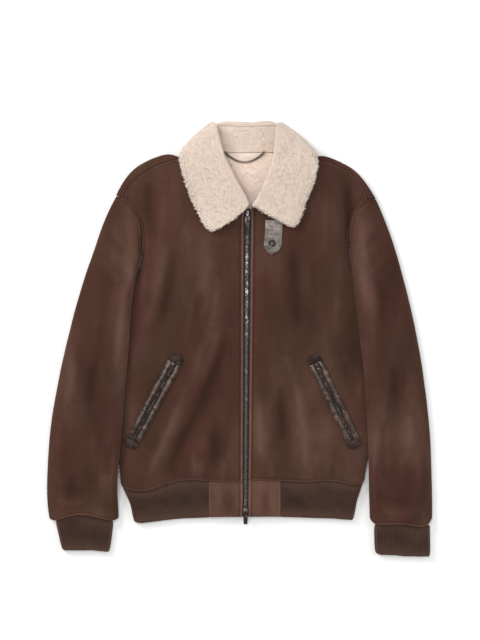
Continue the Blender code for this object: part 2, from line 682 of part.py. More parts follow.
def layer_rings(lines, heights, shares, angle, ribbed):
    """Rings across a flat layer of rib. lines give its two sides' x at a share of its height."""
    rings = []
    for k, share in enumerate(shares):
        rings.append(rib_ring(
            lambda down, share=share: lerp(lines[0](down), lines[1](down), share),
            lambda x, down: lerp(heights[0](x), heights[1](x), down),
            0, angle, RIB_RISE * (k % 2) if ribbed else 0))
    return rings


def turn_rings(side_x, heights, out, rising):
    """Rings round a side fold of rib, from the upper layer down to the lower one, or back up when rising."""
    rings = []
    for k in range(1, TURN_STEPS):
        angle = pi / 2 - pi * k / TURN_STEPS
        turned = min(1.0, max(0.0, 0.2 - 3 * angle / pi))
        rings.append(rib_ring(
            side_x,
            lambda x, down, turned=turned: lerp(lerp(heights[0](x), heights[2](x), turned), heights[1](x), down),
            out, angle, RIB_RISE * (k % 2) if angle >= 0 else 0))
    return rings[::-1] if rising else rings


def ribs_in(width):
    """Shares of a width for its ribs: a ridge and a furrow each."""
    return even(2 * round(width / RIB_PITCH))


def hem_rib(hem_edges):
    """The hem's rib: from one suede end round the back to the other, in one band."""
    def seam_y(side):
        edge = hem_edges[side]
        return lambda x: level_at(edge, x) - SEAM

    def bottom_y(x):
        return level_at(HEM_BOTTOM, x)

    def back_y(_):
        return BACK_HEM_Y - SEAM

    def fold_x(side):
        inward = RIB_LAYERS / 2 * (1 if side == "right" else -1)
        line = RIB_SIDE[side]
        return lambda down: across_at(line, lerp(line[0].y, line[-1].y, down)) + inward

    rings = []
    for side, rising in (("right", False), ("left", True)):
        out = -1 if side == "right" else 1
        heights = (seam_y(side), bottom_y, back_y)
        inner_x = RIB_INNER_X[side]
        front_layer = layer_rings(
            (lambda _, x=inner_x: x, fold_x(side)), heights,
            ribs_in(abs(fold_x(side)(0) - inner_x)), pi / 2, True)
        turn = turn_rings(fold_x(side), heights, out, rising)
        if rising:
            rings += turn + front_layer[::-1]
        else:
            rings += front_layer + turn
            rings += layer_rings((fold_x("right"), fold_x("left")), (back_y, bottom_y), even(8), -pi / 2, False)
    loft("hem_rib", rings, RIB)


def cuff(side):
    """A cuff: a flattened tube of rib, ribbed where it shows."""
    def seam_y(x):
        return level_at(CUFF_SEAM[side], x) - SEAM

    def hidden_y(x):
        return seam_y(x) - 1.5

    def bottom_y(x):
        return level_at(CUFF_LOW[side], x)

    def fold_x(end, inward):
        return lambda down: lerp(CUFF_TOP_X[side][end], CUFF_LOW[side][-1 if end else 0].x, down) + inward

    sign = 1 if side == "right" else -1
    outer_x, inner_x = fold_x(0, sign * RIB_LAYERS / 2), fold_x(1, -sign * RIB_LAYERS / 2)
    heights = (seam_y, bottom_y, hidden_y)
    width = abs(inner_x(0) - outer_x(0))
    rings = layer_rings((outer_x, inner_x), heights, ribs_in(width), pi / 2, True)
    rings += turn_rings(inner_x, heights, sign, False)
    rings += layer_rings((inner_x, outer_x), (hidden_y, bottom_y), even(12), -pi / 2, False)
    rings += turn_rings(outer_x, heights, -sign, True)
    loft(f"cuff_{side}", rings, RIB, round_trip=True)


def hem_end(side, hem_edges):
    """The suede panel between the hem's rib and the zip."""
    low_z, high_z = RIB_LAYERS - RIB_WALL + 0.3, 14.0
    sign = 1 if side == "left" else -1
    outer_x = RIB_INNER_X[side] - sign * SEAM
    upper, lower = [], []
    for j, down in enumerate((0, 0.06, 0.5, 0.94, 1)):
        upper.append([])
        lower.append([])
        for share in (0, 0.06, 0.35, 0.7, 0.8, 0.9, 1):
            inner_x = across_at(ZIP_EDGE[side], lerp(ZIP_HEM_Y, ZIP_END_Y, down))
            x = lerp(outer_x, inner_x, share)
            y = lerp(level_at(hem_edges[side], x) - SEAM, level_at(HEM_BOTTOM, x) - 0.2, down)
            sunk = 1.2 if j in (0, 4) or share in (0, 1) else 0.0
            sunk += 1.2 if share == 0.8 else 0.0
            upper[-1].append((x, y, high_z - sunk))
            lower[-1].append((x, y, low_z))
    wall(f"hem_end_{side}", upper, lower, SUEDE)


# ---- collar ----
def collar_loop(width, curl, half=COLLAR_WALL / 2):
    """A section of the fall as distances from the roll and heights off its middle."""
    return [
        (0, -0.4), (1.8, 0.66 * half), (6.5, half), (0.34 * width, half), (0.68 * width, half),
        (width - 6, 0.85 * half), (width, 0), (width - 5, -0.85 * half), (0.6 * width, -half), (FALL_CURL + 1.5, -half),
        (FALL_CURL, -half - curl), (1.6, -half - curl),
    ]


def wing_ground(x, y, share):
    """Level of a wing's underside: on the front at its free edge, higher at the roll, and clear of the throat tab."""
    over_tab = 3.6 * ease(1 - (hypot(x - 63, y - 216) - 22) / 30)
    return FRONT_TOP + neck_lift(x, y) + front_rise(x, y) + WING_CLEAR + over_tab + ROLL_RISE * (1 - share) ** 2


def wing_ring(line, bow=0.0):
    """A section of a wing, which lies face up on the front."""
    width = hypot(line.edge_x - line.roll_x, line.edge_y - line.roll_y)
    ring = []
    for s, h in collar_loop(width, 0):
        share = s / width
        x, y = lerp(line.roll_x, line.edge_x, share), lerp(line.roll_y, line.edge_y, share)
        y -= bow * 4 * share * (1 - share)
        ring.append((x, y, wing_ground(x, y, share) + COLLAR_WALL / 2 + h))
    for k in (-2, -1):
        x, y, z = ring[k]
        ring[k] = (x, y, lerp(z, back_top(x, y) + CURL_CLEAR, line.curl_to_back))
    return ring


def under_ring(line, curl=UNDER_CURL):
    """A section of the fall behind the neck, which lies face down on the surface."""
    width = hypot(line.edge_x - line.roll_x, line.edge_y - line.roll_y)
    ring = []
    for s, h in collar_loop(width, curl):
        x, y = lerp(line.roll_x, line.edge_x, s / width), lerp(line.roll_y, line.edge_y, s / width)
        ring.append((x, y, COLLAR_WALL / 2 - h))
    return ring


def side_rings(side, under, wing):
    """Sections where the fall folds over the shoulder, from face down to face up."""
    fold = COLLAR_SIDE[side]
    along_fold = Vector((fold.edge_x - fold.roll_x, fold.edge_y - fold.roll_y, 0)).normalized()
    out = Vector((along_fold.y, -along_fold.x, 0)) * (1 if side == "left" else -1)
    if out.y < 0:
        out = -out
    width = hypot(fold.edge_x - fold.roll_x, fold.edge_y - fold.roll_y)
    under_mid = [(under[0][k] + under[6][k]) / 2 for k in (0, 1)]
    wing_mid = [(wing[0][k] + wing[6][k]) / 2 for k in (0, 1)]
    rings = []
    for turn in (0.27, 0.5, 0.73):
        angle = pi * turn
        roll_z = lerp(under[0][2], wing[0][2], (1 - cos(angle)) / 2)
        edge_z = lerp(under[6][2], wing[6][2], (1 - cos(angle)) / 2)
        back_off = 1 - sin(angle)
        drift = [lerp(u, w, turn) - (a + b) / 2 for u, w, a, b in zip(
            under_mid, wing_mid, (fold.roll_x, fold.roll_y), (fold.edge_x, fold.edge_y))]
        normal = Vector((out.x * sin(angle), out.y * sin(angle), -cos(angle)))
        ring = []
        for s, h in collar_loop(width, 2.0):
            share = s / width
            middle = Vector((
                lerp(fold.roll_x, fold.edge_x, share) + drift[0] * back_off * share,
                lerp(fold.roll_y, fold.edge_y, share) + drift[1] * back_off * share,
                lerp(roll_z, edge_z, share),
            ))
            bulge = out * 3.0 * sin(pi * share) * sin(angle)
            ring.append(tuple(middle + bulge + normal * h))
        rings.append(ring)
    return rings


def collar_fall():
    """The collar's fall in one piece: right wing, behind the neck, left wing, wool side out."""
    right = [wing_ring(line, TIP_BOW["right"] if k == 0 else 0) for k, line in enumerate(WING["right"])]
    left = [wing_ring(line, TIP_BOW["left"] if k == 0 else 0) for k, line in enumerate(WING["left"])]
    behind = [under_ring(line) for line in BEHIND_NECK]
    rings = right + side_rings("right", behind[0], right[-1])[::-1] + behind
    rings += side_rings("left", behind[-1], left[-1]) + left[::-1]
    loft("collar_fall", rings, FLEECE)


def collar_stand():
    """The collar's stand behind the neck, from the neck seam up to the roll."""
    upper, lower = [], []
    level = COLLAR_LIFT - 0.6
    for j, (y, low_x, high_x) in enumerate(STAND):
        upper.append([])
        lower.append([])
        for share in even(6):
            sunk = 1.5 if j in (0, len(STAND) - 1) or share in (0, 1) else 0.0
            upper[-1].append((lerp(low_x, high_x, share), y, level + WALL + 0.4 - sunk))
            lower[-1].append((lerp(low_x, high_x, share), y, level))
    wall("collar_stand", upper, lower, FLEECE)


# ---- pieces laid on a panel ----
def laid_strip(name, heights, frame, rows, widths, high, finish):
    """A piece that follows a panel: a grid along and across a line, each point lifted off the panel's surface.

    frame is the start point and the direction. rows say how far along it each section is and how narrow.
    widths are offsets to the left of the direction.
    """
    start, direction = frame
    across = (-direction[1], direction[0])
    upper, lower = [], []
    for j, row in enumerate(rows):
        upper.append([])
        lower.append([])
        for i, width in enumerate(widths):
            x = start[0] + direction[0] * row.length + across[0] * width * row.narrow
            y = start[1] + direction[1] * row.length + across[1] * width * row.narrow
            ground = heights(x, y)
            rim = 0.35 if j in (0, len(rows) - 1) or i in (0, len(widths) - 1) else 0.0
            upper[-1].append((x, y, ground + high - rim * (high - LAID_CLEAR)))
            lower[-1].append((x, y, ground + LAID_CLEAR))
    return wall(name, upper, lower, finish)


def from_start(start, direction, length):
    """The plan point at a length along a direction."""
    return Point(start[0] + direction[0] * length, start[1] + direction[1] * length)


# ---- zips ----
def zip_slider(name, size, start, direction, low):
    """A slider that narrows along its direction. On a pocket its foot stands on the zip, between the welts."""
    high = low + size.height
    levels = [
        (low, size.length / 2 - 0.25, size.width / 2 - 0.25), (low + 0.4, size.length / 2, size.width / 2),
        (high - 0.5, size.length / 2, size.width / 2), (high, size.length / 2 - 0.4, size.width / 2 - 0.4),
    ]
    if size.foot_depth:
        foot = (size.length / 2 - 0.8, size.foot_width / 2)
        levels = [(low - size.foot_depth, *foot), (low, *foot)] + levels
    across = (-direction[1], direction[0])
    middle = from_start(start, direction, size.length / 2)
    rings = []
    for z, half_length, half_width in levels:
        ring = []
        for end, side in ((-1, -1), (1, -1), (1, 1), (-1, 1)):
            reach = side * half_width * (SLIDER_TAPER if end > 0 else 1)
            ring.append((
                middle.x + direction[0] * end * half_length + across[0] * reach,
                middle.y + direction[1] * end * half_length + across[1] * reach, z))
        rings.append(ring)
    loft(name, rings, STEEL)


def pull_pivot(size, start, direction, low):
    """Where a slider's pull turns: just past its narrow end and clear of its top, so that it can fold over it."""
    at = from_start(start, direction, size.length + 0.6)
    return (at.x, at.y, low + size.height + METAL_CLEAR + size.pull_thick / 2)


def zip_pull(name, size, pivot, direction, droop):
    """A flat pull tab, which turns on its pivot and hangs down from it by the droop."""
    forward = Vector((direction[0] * cos(droop), direction[1] * cos(droop), -sin(droop)))
    up = Vector((direction[0] * sin(droop), direction[1] * sin(droop), cos(droop)))
    across = Vector((-direction[1], direction[0], 0))
    rings = []
    for row in PULL_SHAPE:
        wide, thick = row.width * size.pull_width / 2, row.thickness * size.pull_thick / 2
        corners = [(wide, thick - PULL_EDGE), (wide - PULL_EDGE, thick)]
        corners += [(-w, t) for w, t in reversed(corners)]
        corners += [(w, -t) for w, t in reversed(corners)]
        middle = Vector(pivot) + forward * row.length * size.pull_length
        rings.append([tuple(middle + across * w + up * t) for w, t in corners])
    loft(name, rings, STEEL, origin=pivot)


def zip_middle(y):
    return (across_at(ZIP_EDGE["right"], y) + across_at(ZIP_EDGE["left"], y)) / 2


def zip_lift(y):
    return neck_lift(zip_middle(y), y)


def front_zip():
    """The front zip: a tape between the fronts' folded edges, its chain, and a slider with a pull at each end."""
    upper, lower = [], []
    for y in (ZIP_TOP_Y - 2, 150, 50, -50, -150, -250, ZIP_END_Y):
        xs = [across_at(ZIP_EDGE["right"], y) + SEAM, across_at(ZIP_EDGE["left"], y) - SEAM]
        upper.append([(x, y, TAPE_HIGH + zip_lift(y)) for x in xs])
        lower.append([(x, y, TAPE_LOW + zip_lift(y)) for x in xs])
    wall("zip_tape", upper, lower, TAPE)
    half, bevel = CHAIN_WIDTH / 2, 0.9
    rings = []
    for y in (ZIP_TOP_Y - 4, 220, 207, 150, 50, -50, -150, -250, ZIP_END_Y + 1):
        x, lift = zip_middle(y), zip_lift(y)
        low, high = TAPE_HIGH + 0.3 + lift, CHAIN_HIGH + lift
        rings.append([
            (x - half, y, low), (x + half, y, low), (x + half, y, high - bevel), (x + half - bevel, y, high),
            (x - half + bevel, y, high), (x - half, y, high - bevel),
        ])
    loft("zip_chain", rings, STEEL)
    for name, start_y, droop in (("top", TOP_SLIDER_Y, TOP_DROOP), ("bottom", LOW_SLIDER_Y, LOW_DROOP)):
        start = (zip_middle(start_y - FRONT_SLIDER.length / 2), start_y)
        low = CHAIN_HIGH + METAL_CLEAR + zip_lift(start_y)
        down = (0, -1)
        zip_slider(f"slider_{name}", FRONT_SLIDER, start, down, low)
        zip_pull(f"pull_{name}", FRONT_SLIDER, pull_pivot(FRONT_SLIDER, start, down, low), down, radians(droop))


# ---- pockets ----
def pocket(place, heights):
    """A slanted zip pocket: two leather welts, an end cap on each end, and the zip with its slider and pull."""
    start = (place.top_x, place.top_y)
    length = hypot(place.low_x - place.top_x, place.low_y - place.top_y)
    direction = ((place.low_x - place.top_x) / length, (place.low_y - place.top_y) / length)
    name, frame = f"pocket_{place.side}", (start, direction)
    half = POCKET_ZIP / 2 + SEAM
    welt_from, welt_to = POCKET_CAP + SEAM, length - POCKET_CAP - SEAM
    rows = [CapRow(lerp(welt_from, welt_to, t), 1) for t in even(round((welt_to - welt_from) / POCKET_ROW))]
    for part, sign in (("inner", 1), ("outer", -1)):
        widths = [sign * (half + POCKET_WELT * t) for t in (0, 0.12, 0.5, 0.88, 1)]
        laid_strip(f"{name}_welt_{part}", heights, frame, rows, widths, WELT_HIGH, LEATHER)
    zip_widths = (-POCKET_ZIP / 2, 0, POCKET_ZIP / 2)
    laid_strip(f"{name}_zip", heights, frame, rows, zip_widths, POCKET_ZIP_HIGH, STEEL)
    widths = [(half + POCKET_WELT) * t for t in (-1, -0.6, 0, 0.6, 1)]
    low_rows = [CapRow(length - row.length, row.narrow) for row in reversed(CAP_ROWS)]
    laid_strip(f"{name}_cap_top", heights, frame, CAP_ROWS, widths, CAP_HIGH, LEATHER)
    laid_strip(f"{name}_cap_bottom", heights, frame, low_rows, widths, CAP_HIGH, LEATHER)

    slider_from = from_start(start, direction, POCKET_CAP + 1.5)
    under = [heights(*from_start(slider_from, direction, POCKET_SLIDER.length * t)) for t in (0, 0.5, 1)]
    low = max(under) + POCKET_ZIP_HIGH + METAL_CLEAR + POCKET_SLIDER.foot_depth
    zip_slider(f"{name}_slider", POCKET_SLIDER, slider_from, direction, low)
    pivot = pull_pivot(POCKET_SLIDER, slider_from, direction, low)
    reach = POCKET_SLIDER.pull_length
    welts = max(heights(*from_start(pivot, direction, reach * t)) for t in (0.8, 0.9, 1)) + WELT_HIGH
    drop = pivot[2] - POCKET_SLIDER.pull_thick / 2 - welts - METAL_CLEAR
    zip_pull(f"{name}_pull", POCKET_SLIDER, pivot, direction, asin(drop / reach))


# ---- throat tab and hanger loop ----
def throat_tab(heights):
    """The grey leather tab that comes out from under the left wing, with its ring snap."""
    widths = [TAB_HALF * t for t in (-1, -0.9, -0.45, 0, 0.45, 0.9, 1)]
    laid_strip("throat_tab", heights, (TAB_TOP, TAB_RUN), TAB_ROWS, widths, TAB_HIGH, GREY_LEATHER)
    level = heights(*SNAP_AT) + TAB_HIGH + LAID_CLEAR
    profile = ((0, SNAP_RADIUS - 0.4), (0.5, SNAP_RADIUS), (1.3, SNAP_RADIUS), (SNAP_HIGH, SNAP_RADIUS - 0.8),
               (SNAP_HIGH, SNAP_HOLE), (1.2, SNAP_HOLE - 0.6), (1.2, SNAP_EYE))
    rings = []
    for z, radius in profile:
        turns = [2 * pi * k / SNAP_SIDES for k in range(SNAP_SIDES)]
        rings.append([(SNAP_AT[0] + radius * cos(a), SNAP_AT[1] + radius * sin(a), level + z) for a in turns])
    loft("throat_snap", rings, STEEL)


def hanger_loop():
    """The braided hanger loop, sewn into the neck seam and lying on the back's fleece."""
    upper, lower = [], []
    for k in range(LOOP_STEPS + 1):
        t = k / LOOP_STEPS
        x = lerp(LOOP_FROM[0], LOOP_TO[0], t)
        y = LOOP_FROM[1] - LOOP_HANG * sin(pi * t) ** 0.8
        slope = atan2(-LOOP_HANG * 0.8 * cos(pi * t) * pi, LOOP_TO[0] - LOOP_FROM[0])
        level = back_top(x, y) + LAID_CLEAR
        upper.append([])
        lower.append([])
        for across, high in ((-1, 1.2), (-0.4, LOOP_HIGH), (0.4, LOOP_HIGH), (1, 1.2)):
            px, py = x - across * LOOP_HALF * sin(slope), y + across * LOOP_HALF * cos(slope)
            upper[-1].append((px, py, level + high))
            lower[-1].append((px, py, level))
    wall("hanger_loop", upper, lower, BRAID)


def main():
    for leftover in list(bpy.data.objects):
        bpy.data.objects.remove(leftover)
    hem_edges = {side: front(side) for side in ("right", "left")}
    back()
    for side in ("right", "left"):
        sleeve(side)
        cuff(side)
        hem_end(side, hem_edges)
    hem_rib(hem_edges)
    collar_fall()
    collar_stand()
    front_zip()
    for place in POCKETS:
        pocket(place, surface_of(bpy.data.objects[f"front_{place.side}"]))
    throat_tab(surface_of(bpy.data.objects["front_left"]))
    hanger_loop()


main()
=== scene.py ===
"""Looks of a suede bomber jacket lined with shorn sheepskin, zipped up and laid flat on its back.

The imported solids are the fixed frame. Every cloth piece is made on the form of its own solid, then creased,
stitched and given its finish; zips, snap and hanger loop are modelled in full. Sizes in tables and fields are
millimetres and MM makes them metres. Right and left are the wearer's, so the right side has negative x.
"""

import json
import logging
from dataclasses import dataclass, field
from enum import Enum
from math import cos, hypot, pi, radians, sin
from typing import Any, Callable, Iterable, Sequence

import bpy
import numpy as np
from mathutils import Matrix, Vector, noise
from mathutils.bvhtree import BVHTree

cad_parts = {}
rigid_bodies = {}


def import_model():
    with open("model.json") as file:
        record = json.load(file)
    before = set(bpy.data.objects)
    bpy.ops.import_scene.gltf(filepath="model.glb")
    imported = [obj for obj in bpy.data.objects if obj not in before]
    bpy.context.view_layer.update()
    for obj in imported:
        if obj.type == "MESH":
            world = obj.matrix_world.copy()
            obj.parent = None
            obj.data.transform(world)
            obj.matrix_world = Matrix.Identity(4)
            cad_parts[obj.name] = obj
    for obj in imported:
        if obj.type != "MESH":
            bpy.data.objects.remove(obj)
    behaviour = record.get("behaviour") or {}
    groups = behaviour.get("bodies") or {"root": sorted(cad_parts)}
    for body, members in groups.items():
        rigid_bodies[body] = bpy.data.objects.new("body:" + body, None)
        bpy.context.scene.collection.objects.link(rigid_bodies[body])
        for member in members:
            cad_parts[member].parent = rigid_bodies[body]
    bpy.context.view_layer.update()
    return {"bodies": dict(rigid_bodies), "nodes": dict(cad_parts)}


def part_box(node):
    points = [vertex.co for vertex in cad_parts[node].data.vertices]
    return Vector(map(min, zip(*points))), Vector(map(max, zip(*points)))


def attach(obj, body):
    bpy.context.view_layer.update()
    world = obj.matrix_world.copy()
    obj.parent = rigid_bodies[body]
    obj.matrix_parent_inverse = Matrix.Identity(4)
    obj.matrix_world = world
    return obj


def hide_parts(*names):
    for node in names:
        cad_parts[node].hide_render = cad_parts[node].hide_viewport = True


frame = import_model()

MM = 0.001
LOG = logging.getLogger("jacket")

Plan = tuple[float, float]
Colour = tuple[float, float, float]
Height = Callable[[float, float], float]
Faces = list[tuple[int, ...]]
Piece = bpy.types.Object
Finish = bpy.types.Material
Chooser = Callable[[np.ndarray, np.ndarray], np.ndarray]


class Side(Enum):
    """The wearer's sides."""

    RIGHT = "right"
    LEFT = "left"

    @property
    def sign(self) -> int:
        """-1 on the right, where x is negative, and 1 on the left."""
        return -1 if self is Side.RIGHT else 1


class Body(Enum):
    """The bodies that pieces ride on."""

    JACKET = "jacket"
    PULL_TOP = "pull_top_body"
    PULL_BOTTOM = "pull_bottom_body"
    PULL_RIGHT = "pocket_right_pull_body"
    PULL_LEFT = "pocket_left_pull_body"


class Slot(Enum):
    """The record's material slots."""

    SUEDE = "suede"
    FLEECE = "fleece"
    RIB = "rib_knit"
    LEATHER = "smooth_leather"
    GREY_LEATHER = "grey_leather"
    METAL = "dark_nickel"
    TAPE = "zip_tape"
    BRAID = "braid"


# ---- seam lines, as seen from above ----
ARMHOLE: dict[Side, list[Plan]] = {
    Side.RIGHT: [(-225, 260.2), (-212, 257.2), (-202, 247.2), (-188, 226.2), (-180, 208.2), (-178, 185.2),
                 (-178, 169.2), (-178, 159.2)],
    Side.LEFT: [(249, 254.2), (233, 255.2), (220, 249.2), (210, 235.2), (204, 219.2), (200, 201.2),
                (199, 187.2), (199, 178.2)],
}
SHOULDER_SEAM: dict[Side, list[Plan]] = {
    Side.RIGHT: [(-212, 257.2), (-205, 275.2), (-199, 285.2), (-178, 301.2), (-155, 314.2), (-116, 326.2)],
    Side.LEFT: [(233, 255.2), (226, 273.2), (217, 287.2), (204, 301.2), (190, 310.2), (147, 325.2)],
}
ZIP_EDGE: dict[Side, list[Plan]] = {
    Side.RIGHT: [(7.8, 239.2), (6.0, -324.8)],
    Side.LEFT: [(21.2, 239.2), (15.6, -324.8)],
}
HEM_SEAM: dict[Side, list[Plan]] = {
    Side.RIGHT: [(-214, -271.8), (-192, -278.8), (-166, -277.8), (-139, -266.8), (-112, -258.8), (-75, -256.8),
                 (-54, -260.8), (6.2, -261.8)],
    Side.LEFT: [(224, -264.8), (212, -269.8), (180, -259.8), (148, -257.8), (126, -261.8), (110, -260.8),
                (74, -258.8), (15.8, -256.8)],
}
CUFF_SEAM: dict[Side, list[Plan]] = {
    Side.RIGHT: [(-347, -327.8), (-339, -331.8), (-326, -328.8), (-301, -319.8), (-278, -320.3), (-248, -327.8),
                 (-228, -332.8), (-220, -325.8)],
    Side.LEFT: [(351.5, -326.8), (343, -341.8), (324, -343.8), (301, -336.8), (285, -337.3), (261, -338.8),
                (245, -338.8), (237, -327.8)],
}
HEM_END_EDGE: dict[Side, tuple[Plan, ...]] = {
    Side.RIGHT: ((6.2, -262.0), (-55.4, -262.0), (-55.4, -324.5)),
    Side.LEFT: ((15.8, -258.0), (74.4, -258.0), (74.4, -324.0)),
}
POCKET_LINE: dict[Side, tuple[Plan, Plan]] = {
    Side.RIGHT: ((-110.5, -29.8), (-201, -197.8)),
    Side.LEFT: ((131.5, -29.8), (212.5, -197.8)),
}


# ---- shader maths ----
class Wire:
    """A shader socket that stands in a Python expression, which adds its Math nodes."""

    def __init__(self, recipe: "Recipe", socket: bpy.types.NodeSocket) -> None:
        """Wraps an output socket of the recipe's tree."""
        self.recipe = recipe
        self.socket = socket

    def _math(self, operation: str, first: Any, second: Any = 0.0) -> "Wire":
        """Adds a Math node on two values or wires."""
        return self.recipe.add("ShaderNodeMath", {"operation": operation}, {0: first, 1: second})

    def __add__(self, other: Any) -> "Wire":
        """self + other."""
        return self._math("ADD", self, other)

    __radd__ = __add__

    def __mul__(self, other: Any) -> "Wire":
        """self * other."""
        return self._math("MULTIPLY", self, other)

    __rmul__ = __mul__

    def __sub__(self, other: Any) -> "Wire":
        """self - other."""
        return self._math("SUBTRACT", self, other)

    def __rsub__(self, other: Any) -> "Wire":
        """other - self."""
        return self._math("SUBTRACT", other, self)

    def crest(self) -> "Wire":
        """The sine of an angle in radians, brought to 0 and 1."""
        return self._math("SINE", self) * 0.5 + 0.5

    def within(self, low: float, high: float) -> "Wire":
        """The value's way from low to high, held to 0 and 1, with soft ends."""
        return self.recipe.add("ShaderNodeMapRange", {"interpolation_type": "SMOOTHSTEP"},
                               {0: self, 1: low, 2: high, 3: 0.0, 4: 1.0})


class Recipe:
    """A material's node tree, written call by call."""

    def __init__(self, name: str, roughness: float, **constants: Any) -> None:
        """Starts a Principled material.

        Args:
            name: the material's name.
            roughness: roughness where nothing is linked to it.
            constants: other Principled sockets, with _ for a space.
        """
        self.material = bpy.data.materials.new(name)
        self.material.use_nodes = True
        self.tree = self.material.node_tree
        self.shader = self.tree.nodes["Principled BSDF"]
        self.shader.inputs["Roughness"].default_value = roughness
        for key, value in constants.items():
            self.shader.inputs[key.replace("_", " ")].default_value = value

    def add(self, kind: str, settings: dict[str, Any], sockets: dict[Any, Any], out: Any = 0) -> Wire:
        """Adds one node.

        Args:
            kind: the node's type.
            settings: its properties; "stops" gives a ramp's places and colours.
            sockets: values or wires for its inputs, by name or number.
            out: the output that is returned.

        Returns:
            The output, as a wire.
        """
        node = self.tree.nodes.new(kind)
        for key, value in settings.items():
            if key == "stops":
                for k, (place, colour) in enumerate(value):
                    elements = node.color_ramp.elements
                    stop = elements[k] if k < len(elements) else elements.new(place)
                    stop.position, stop.color = place, (*colour, 1.0)
            else:
                setattr(node, key, value)
        for key, value in sockets.items():
            if isinstance(value, Wire):
                self.tree.links.new(value.socket, node.inputs[key])
            else:
                node.inputs[key].default_value = value
        return Wire(self, node.outputs[out])

    def place(self, scale: Sequence[float] = (1, 1, 1), turn: float = 0.0) -> Wire:
        """Object coordinates, stretched by a scale and turned about Z in degrees."""
        spot = self.add("ShaderNodeTexCoord", {}, {}, "Object")
        return self.add("ShaderNodeMapping", {}, {
            "Vector": spot, "Scale": tuple(scale), "Rotation": (0, 0, radians(turn))})

    def axis(self, number: int) -> Wire:
        """One of the object coordinates, by its number."""
        return self.add("ShaderNodeSeparateXYZ", {}, {0: self.place()}, number)

    def waves(self, axis: int, pitch: float) -> Wire:
        """An angle that turns once every pitch millimetres along an axis."""
        return self.axis(axis) * (2 * pi / (pitch * MM))

    def noise(self, size: float, detail: float = 3.0, vector: Wire | None = None, rough: float = 0.55,
              distort: float = 0.0) -> Wire:
        """Noise about 0.5 whose patches are about size millimetres across."""
        return self.add("ShaderNodeTexNoise", {}, {
            "Vector": vector or self.place(), "Scale": 1 / (size * MM), "Detail": detail, "Roughness": rough,
            "Distortion": distort})

    def cells(self, size: float, feature: str = "F1") -> Wire:
        """Distance in a cell pattern of cells about size millimetres across."""
        return self.add("ShaderNodeTexVoronoi", {"feature": feature}, {
            "Vector": self.place(), "Scale": 1 / (size * MM)}, "Distance")

    def attribute(self, name: str) -> Wire:
        """The piece's own number at each point."""
        return self.add("ShaderNodeAttribute", {"attribute_name": name}, {}, "Fac")

    def mix(self, share: Any, first: Any, second: Any) -> Wire:
        """A colour between two colours."""
        first, second = ((*c, 1.0) if isinstance(c, tuple) else c for c in (first, second))
        return self.add("ShaderNodeMix", {"data_type": "RGBA"}, {0: share, 6: first, 7: second}, 2)

    def ramp(self, value: Wire, *stops: tuple[float, Colour]) -> Wire:
        """A colour read off stops by a value."""
        return self.add("ShaderNodeValToRGB", {"stops": stops}, {0: value})

    def bump(self, height: Wire, depth: float, strength: float = 1.0) -> None:
        """Raises the surface by a height of 0 to 1, depth millimetres high."""
        made = self.add("ShaderNodeBump", {}, {"Height": height, "Distance": depth * MM, "Strength": strength})
        self.link("Normal", made)

    def link(self, socket: str, wire: Wire) -> None:
        """Feeds one of the shader's sockets."""
        self.tree.links.new(wire.socket, self.shader.inputs[socket])


# ---- finishes ----
@dataclass(frozen=True)
class Suede:
    """Brown suede with a soft two-tone nap, with painted shade in its creases and seam grooves, painted light
    on its ridges, and paler rubbed edges that are partly painted highlight.
    """

    # dark and pale are the nap's own two tones, and they also carry the painted shade and painted light
    dark: Colour = (0.033, 0.0145, 0.0092)
    red: Colour = (0.0585, 0.0246, 0.0174)
    olive: Colour = (0.0550, 0.0275, 0.0181)
    pale: Colour = (0.112, 0.059, 0.044)
    # paler rubbed edges, partly wear and partly painted highlight
    rubbed_and_lit: Colour = (0.205, 0.108, 0.083)

    def make(self) -> Finish:
        """Returns the material."""
        r = Recipe("suede", 0.93, Sheen_Weight=0.06, Sheen_Roughness=0.45, Sheen_Tint=(0.75, 0.52, 0.42, 1),
                   Specular_IOR_Level=0.06)
        drift = r.place((1.0, 0.42, 1.0), 12)
        broad = r.noise(88, 2, drift, 0.5, 0.6)
        hue = r.noise(60, 3, r.place((1.0, 0.3, 1.0), -8), 0.55, 0.4)
        patch = r.noise(26, 4, drift, 0.6, 0.4)
        fibre = r.noise(1.1, 3)
        brushed = r.noise(5.5, 3, r.place((1.0, 0.35, 1.0), -20), 0.6)
        lay = 0.66 * broad + 0.26 * patch + 0.10 * brushed + 0.08 * fibre - 0.16
        # the nap's random tone, plus painted shade and painted light: bands along folds, crease troughs, seam
        # grooves, and ridges lighter and troughs darker by their relief
        tone = lay + 0.175 * r.attribute("nap") + 0.09 * r.attribute("fold")
        ground = r.mix(hue.within(0.4, 0.6), self.red, self.olive)
        deep = r.mix(tone.within(0.0, 0.46), self.dark, ground)
        light_and_tone = r.mix(tone.within(0.34, 0.82), deep, self.pale)
        # paler seam edges: partly rubbed wear, partly painted highlight
        wear_and_light = r.attribute("seam") * (0.55 + 0.5 * brushed)
        r.link("Base Color", r.mix(wear_and_light.within(0.05, 1.15), light_and_tone, self.rubbed_and_lit))
        r.link("Roughness", 0.86 + 0.12 * patch)
        r.bump(0.5 * fibre + 0.35 * brushed + 0.6 * r.noise(14, 4, drift), 0.42, 0.5)
        return r.material


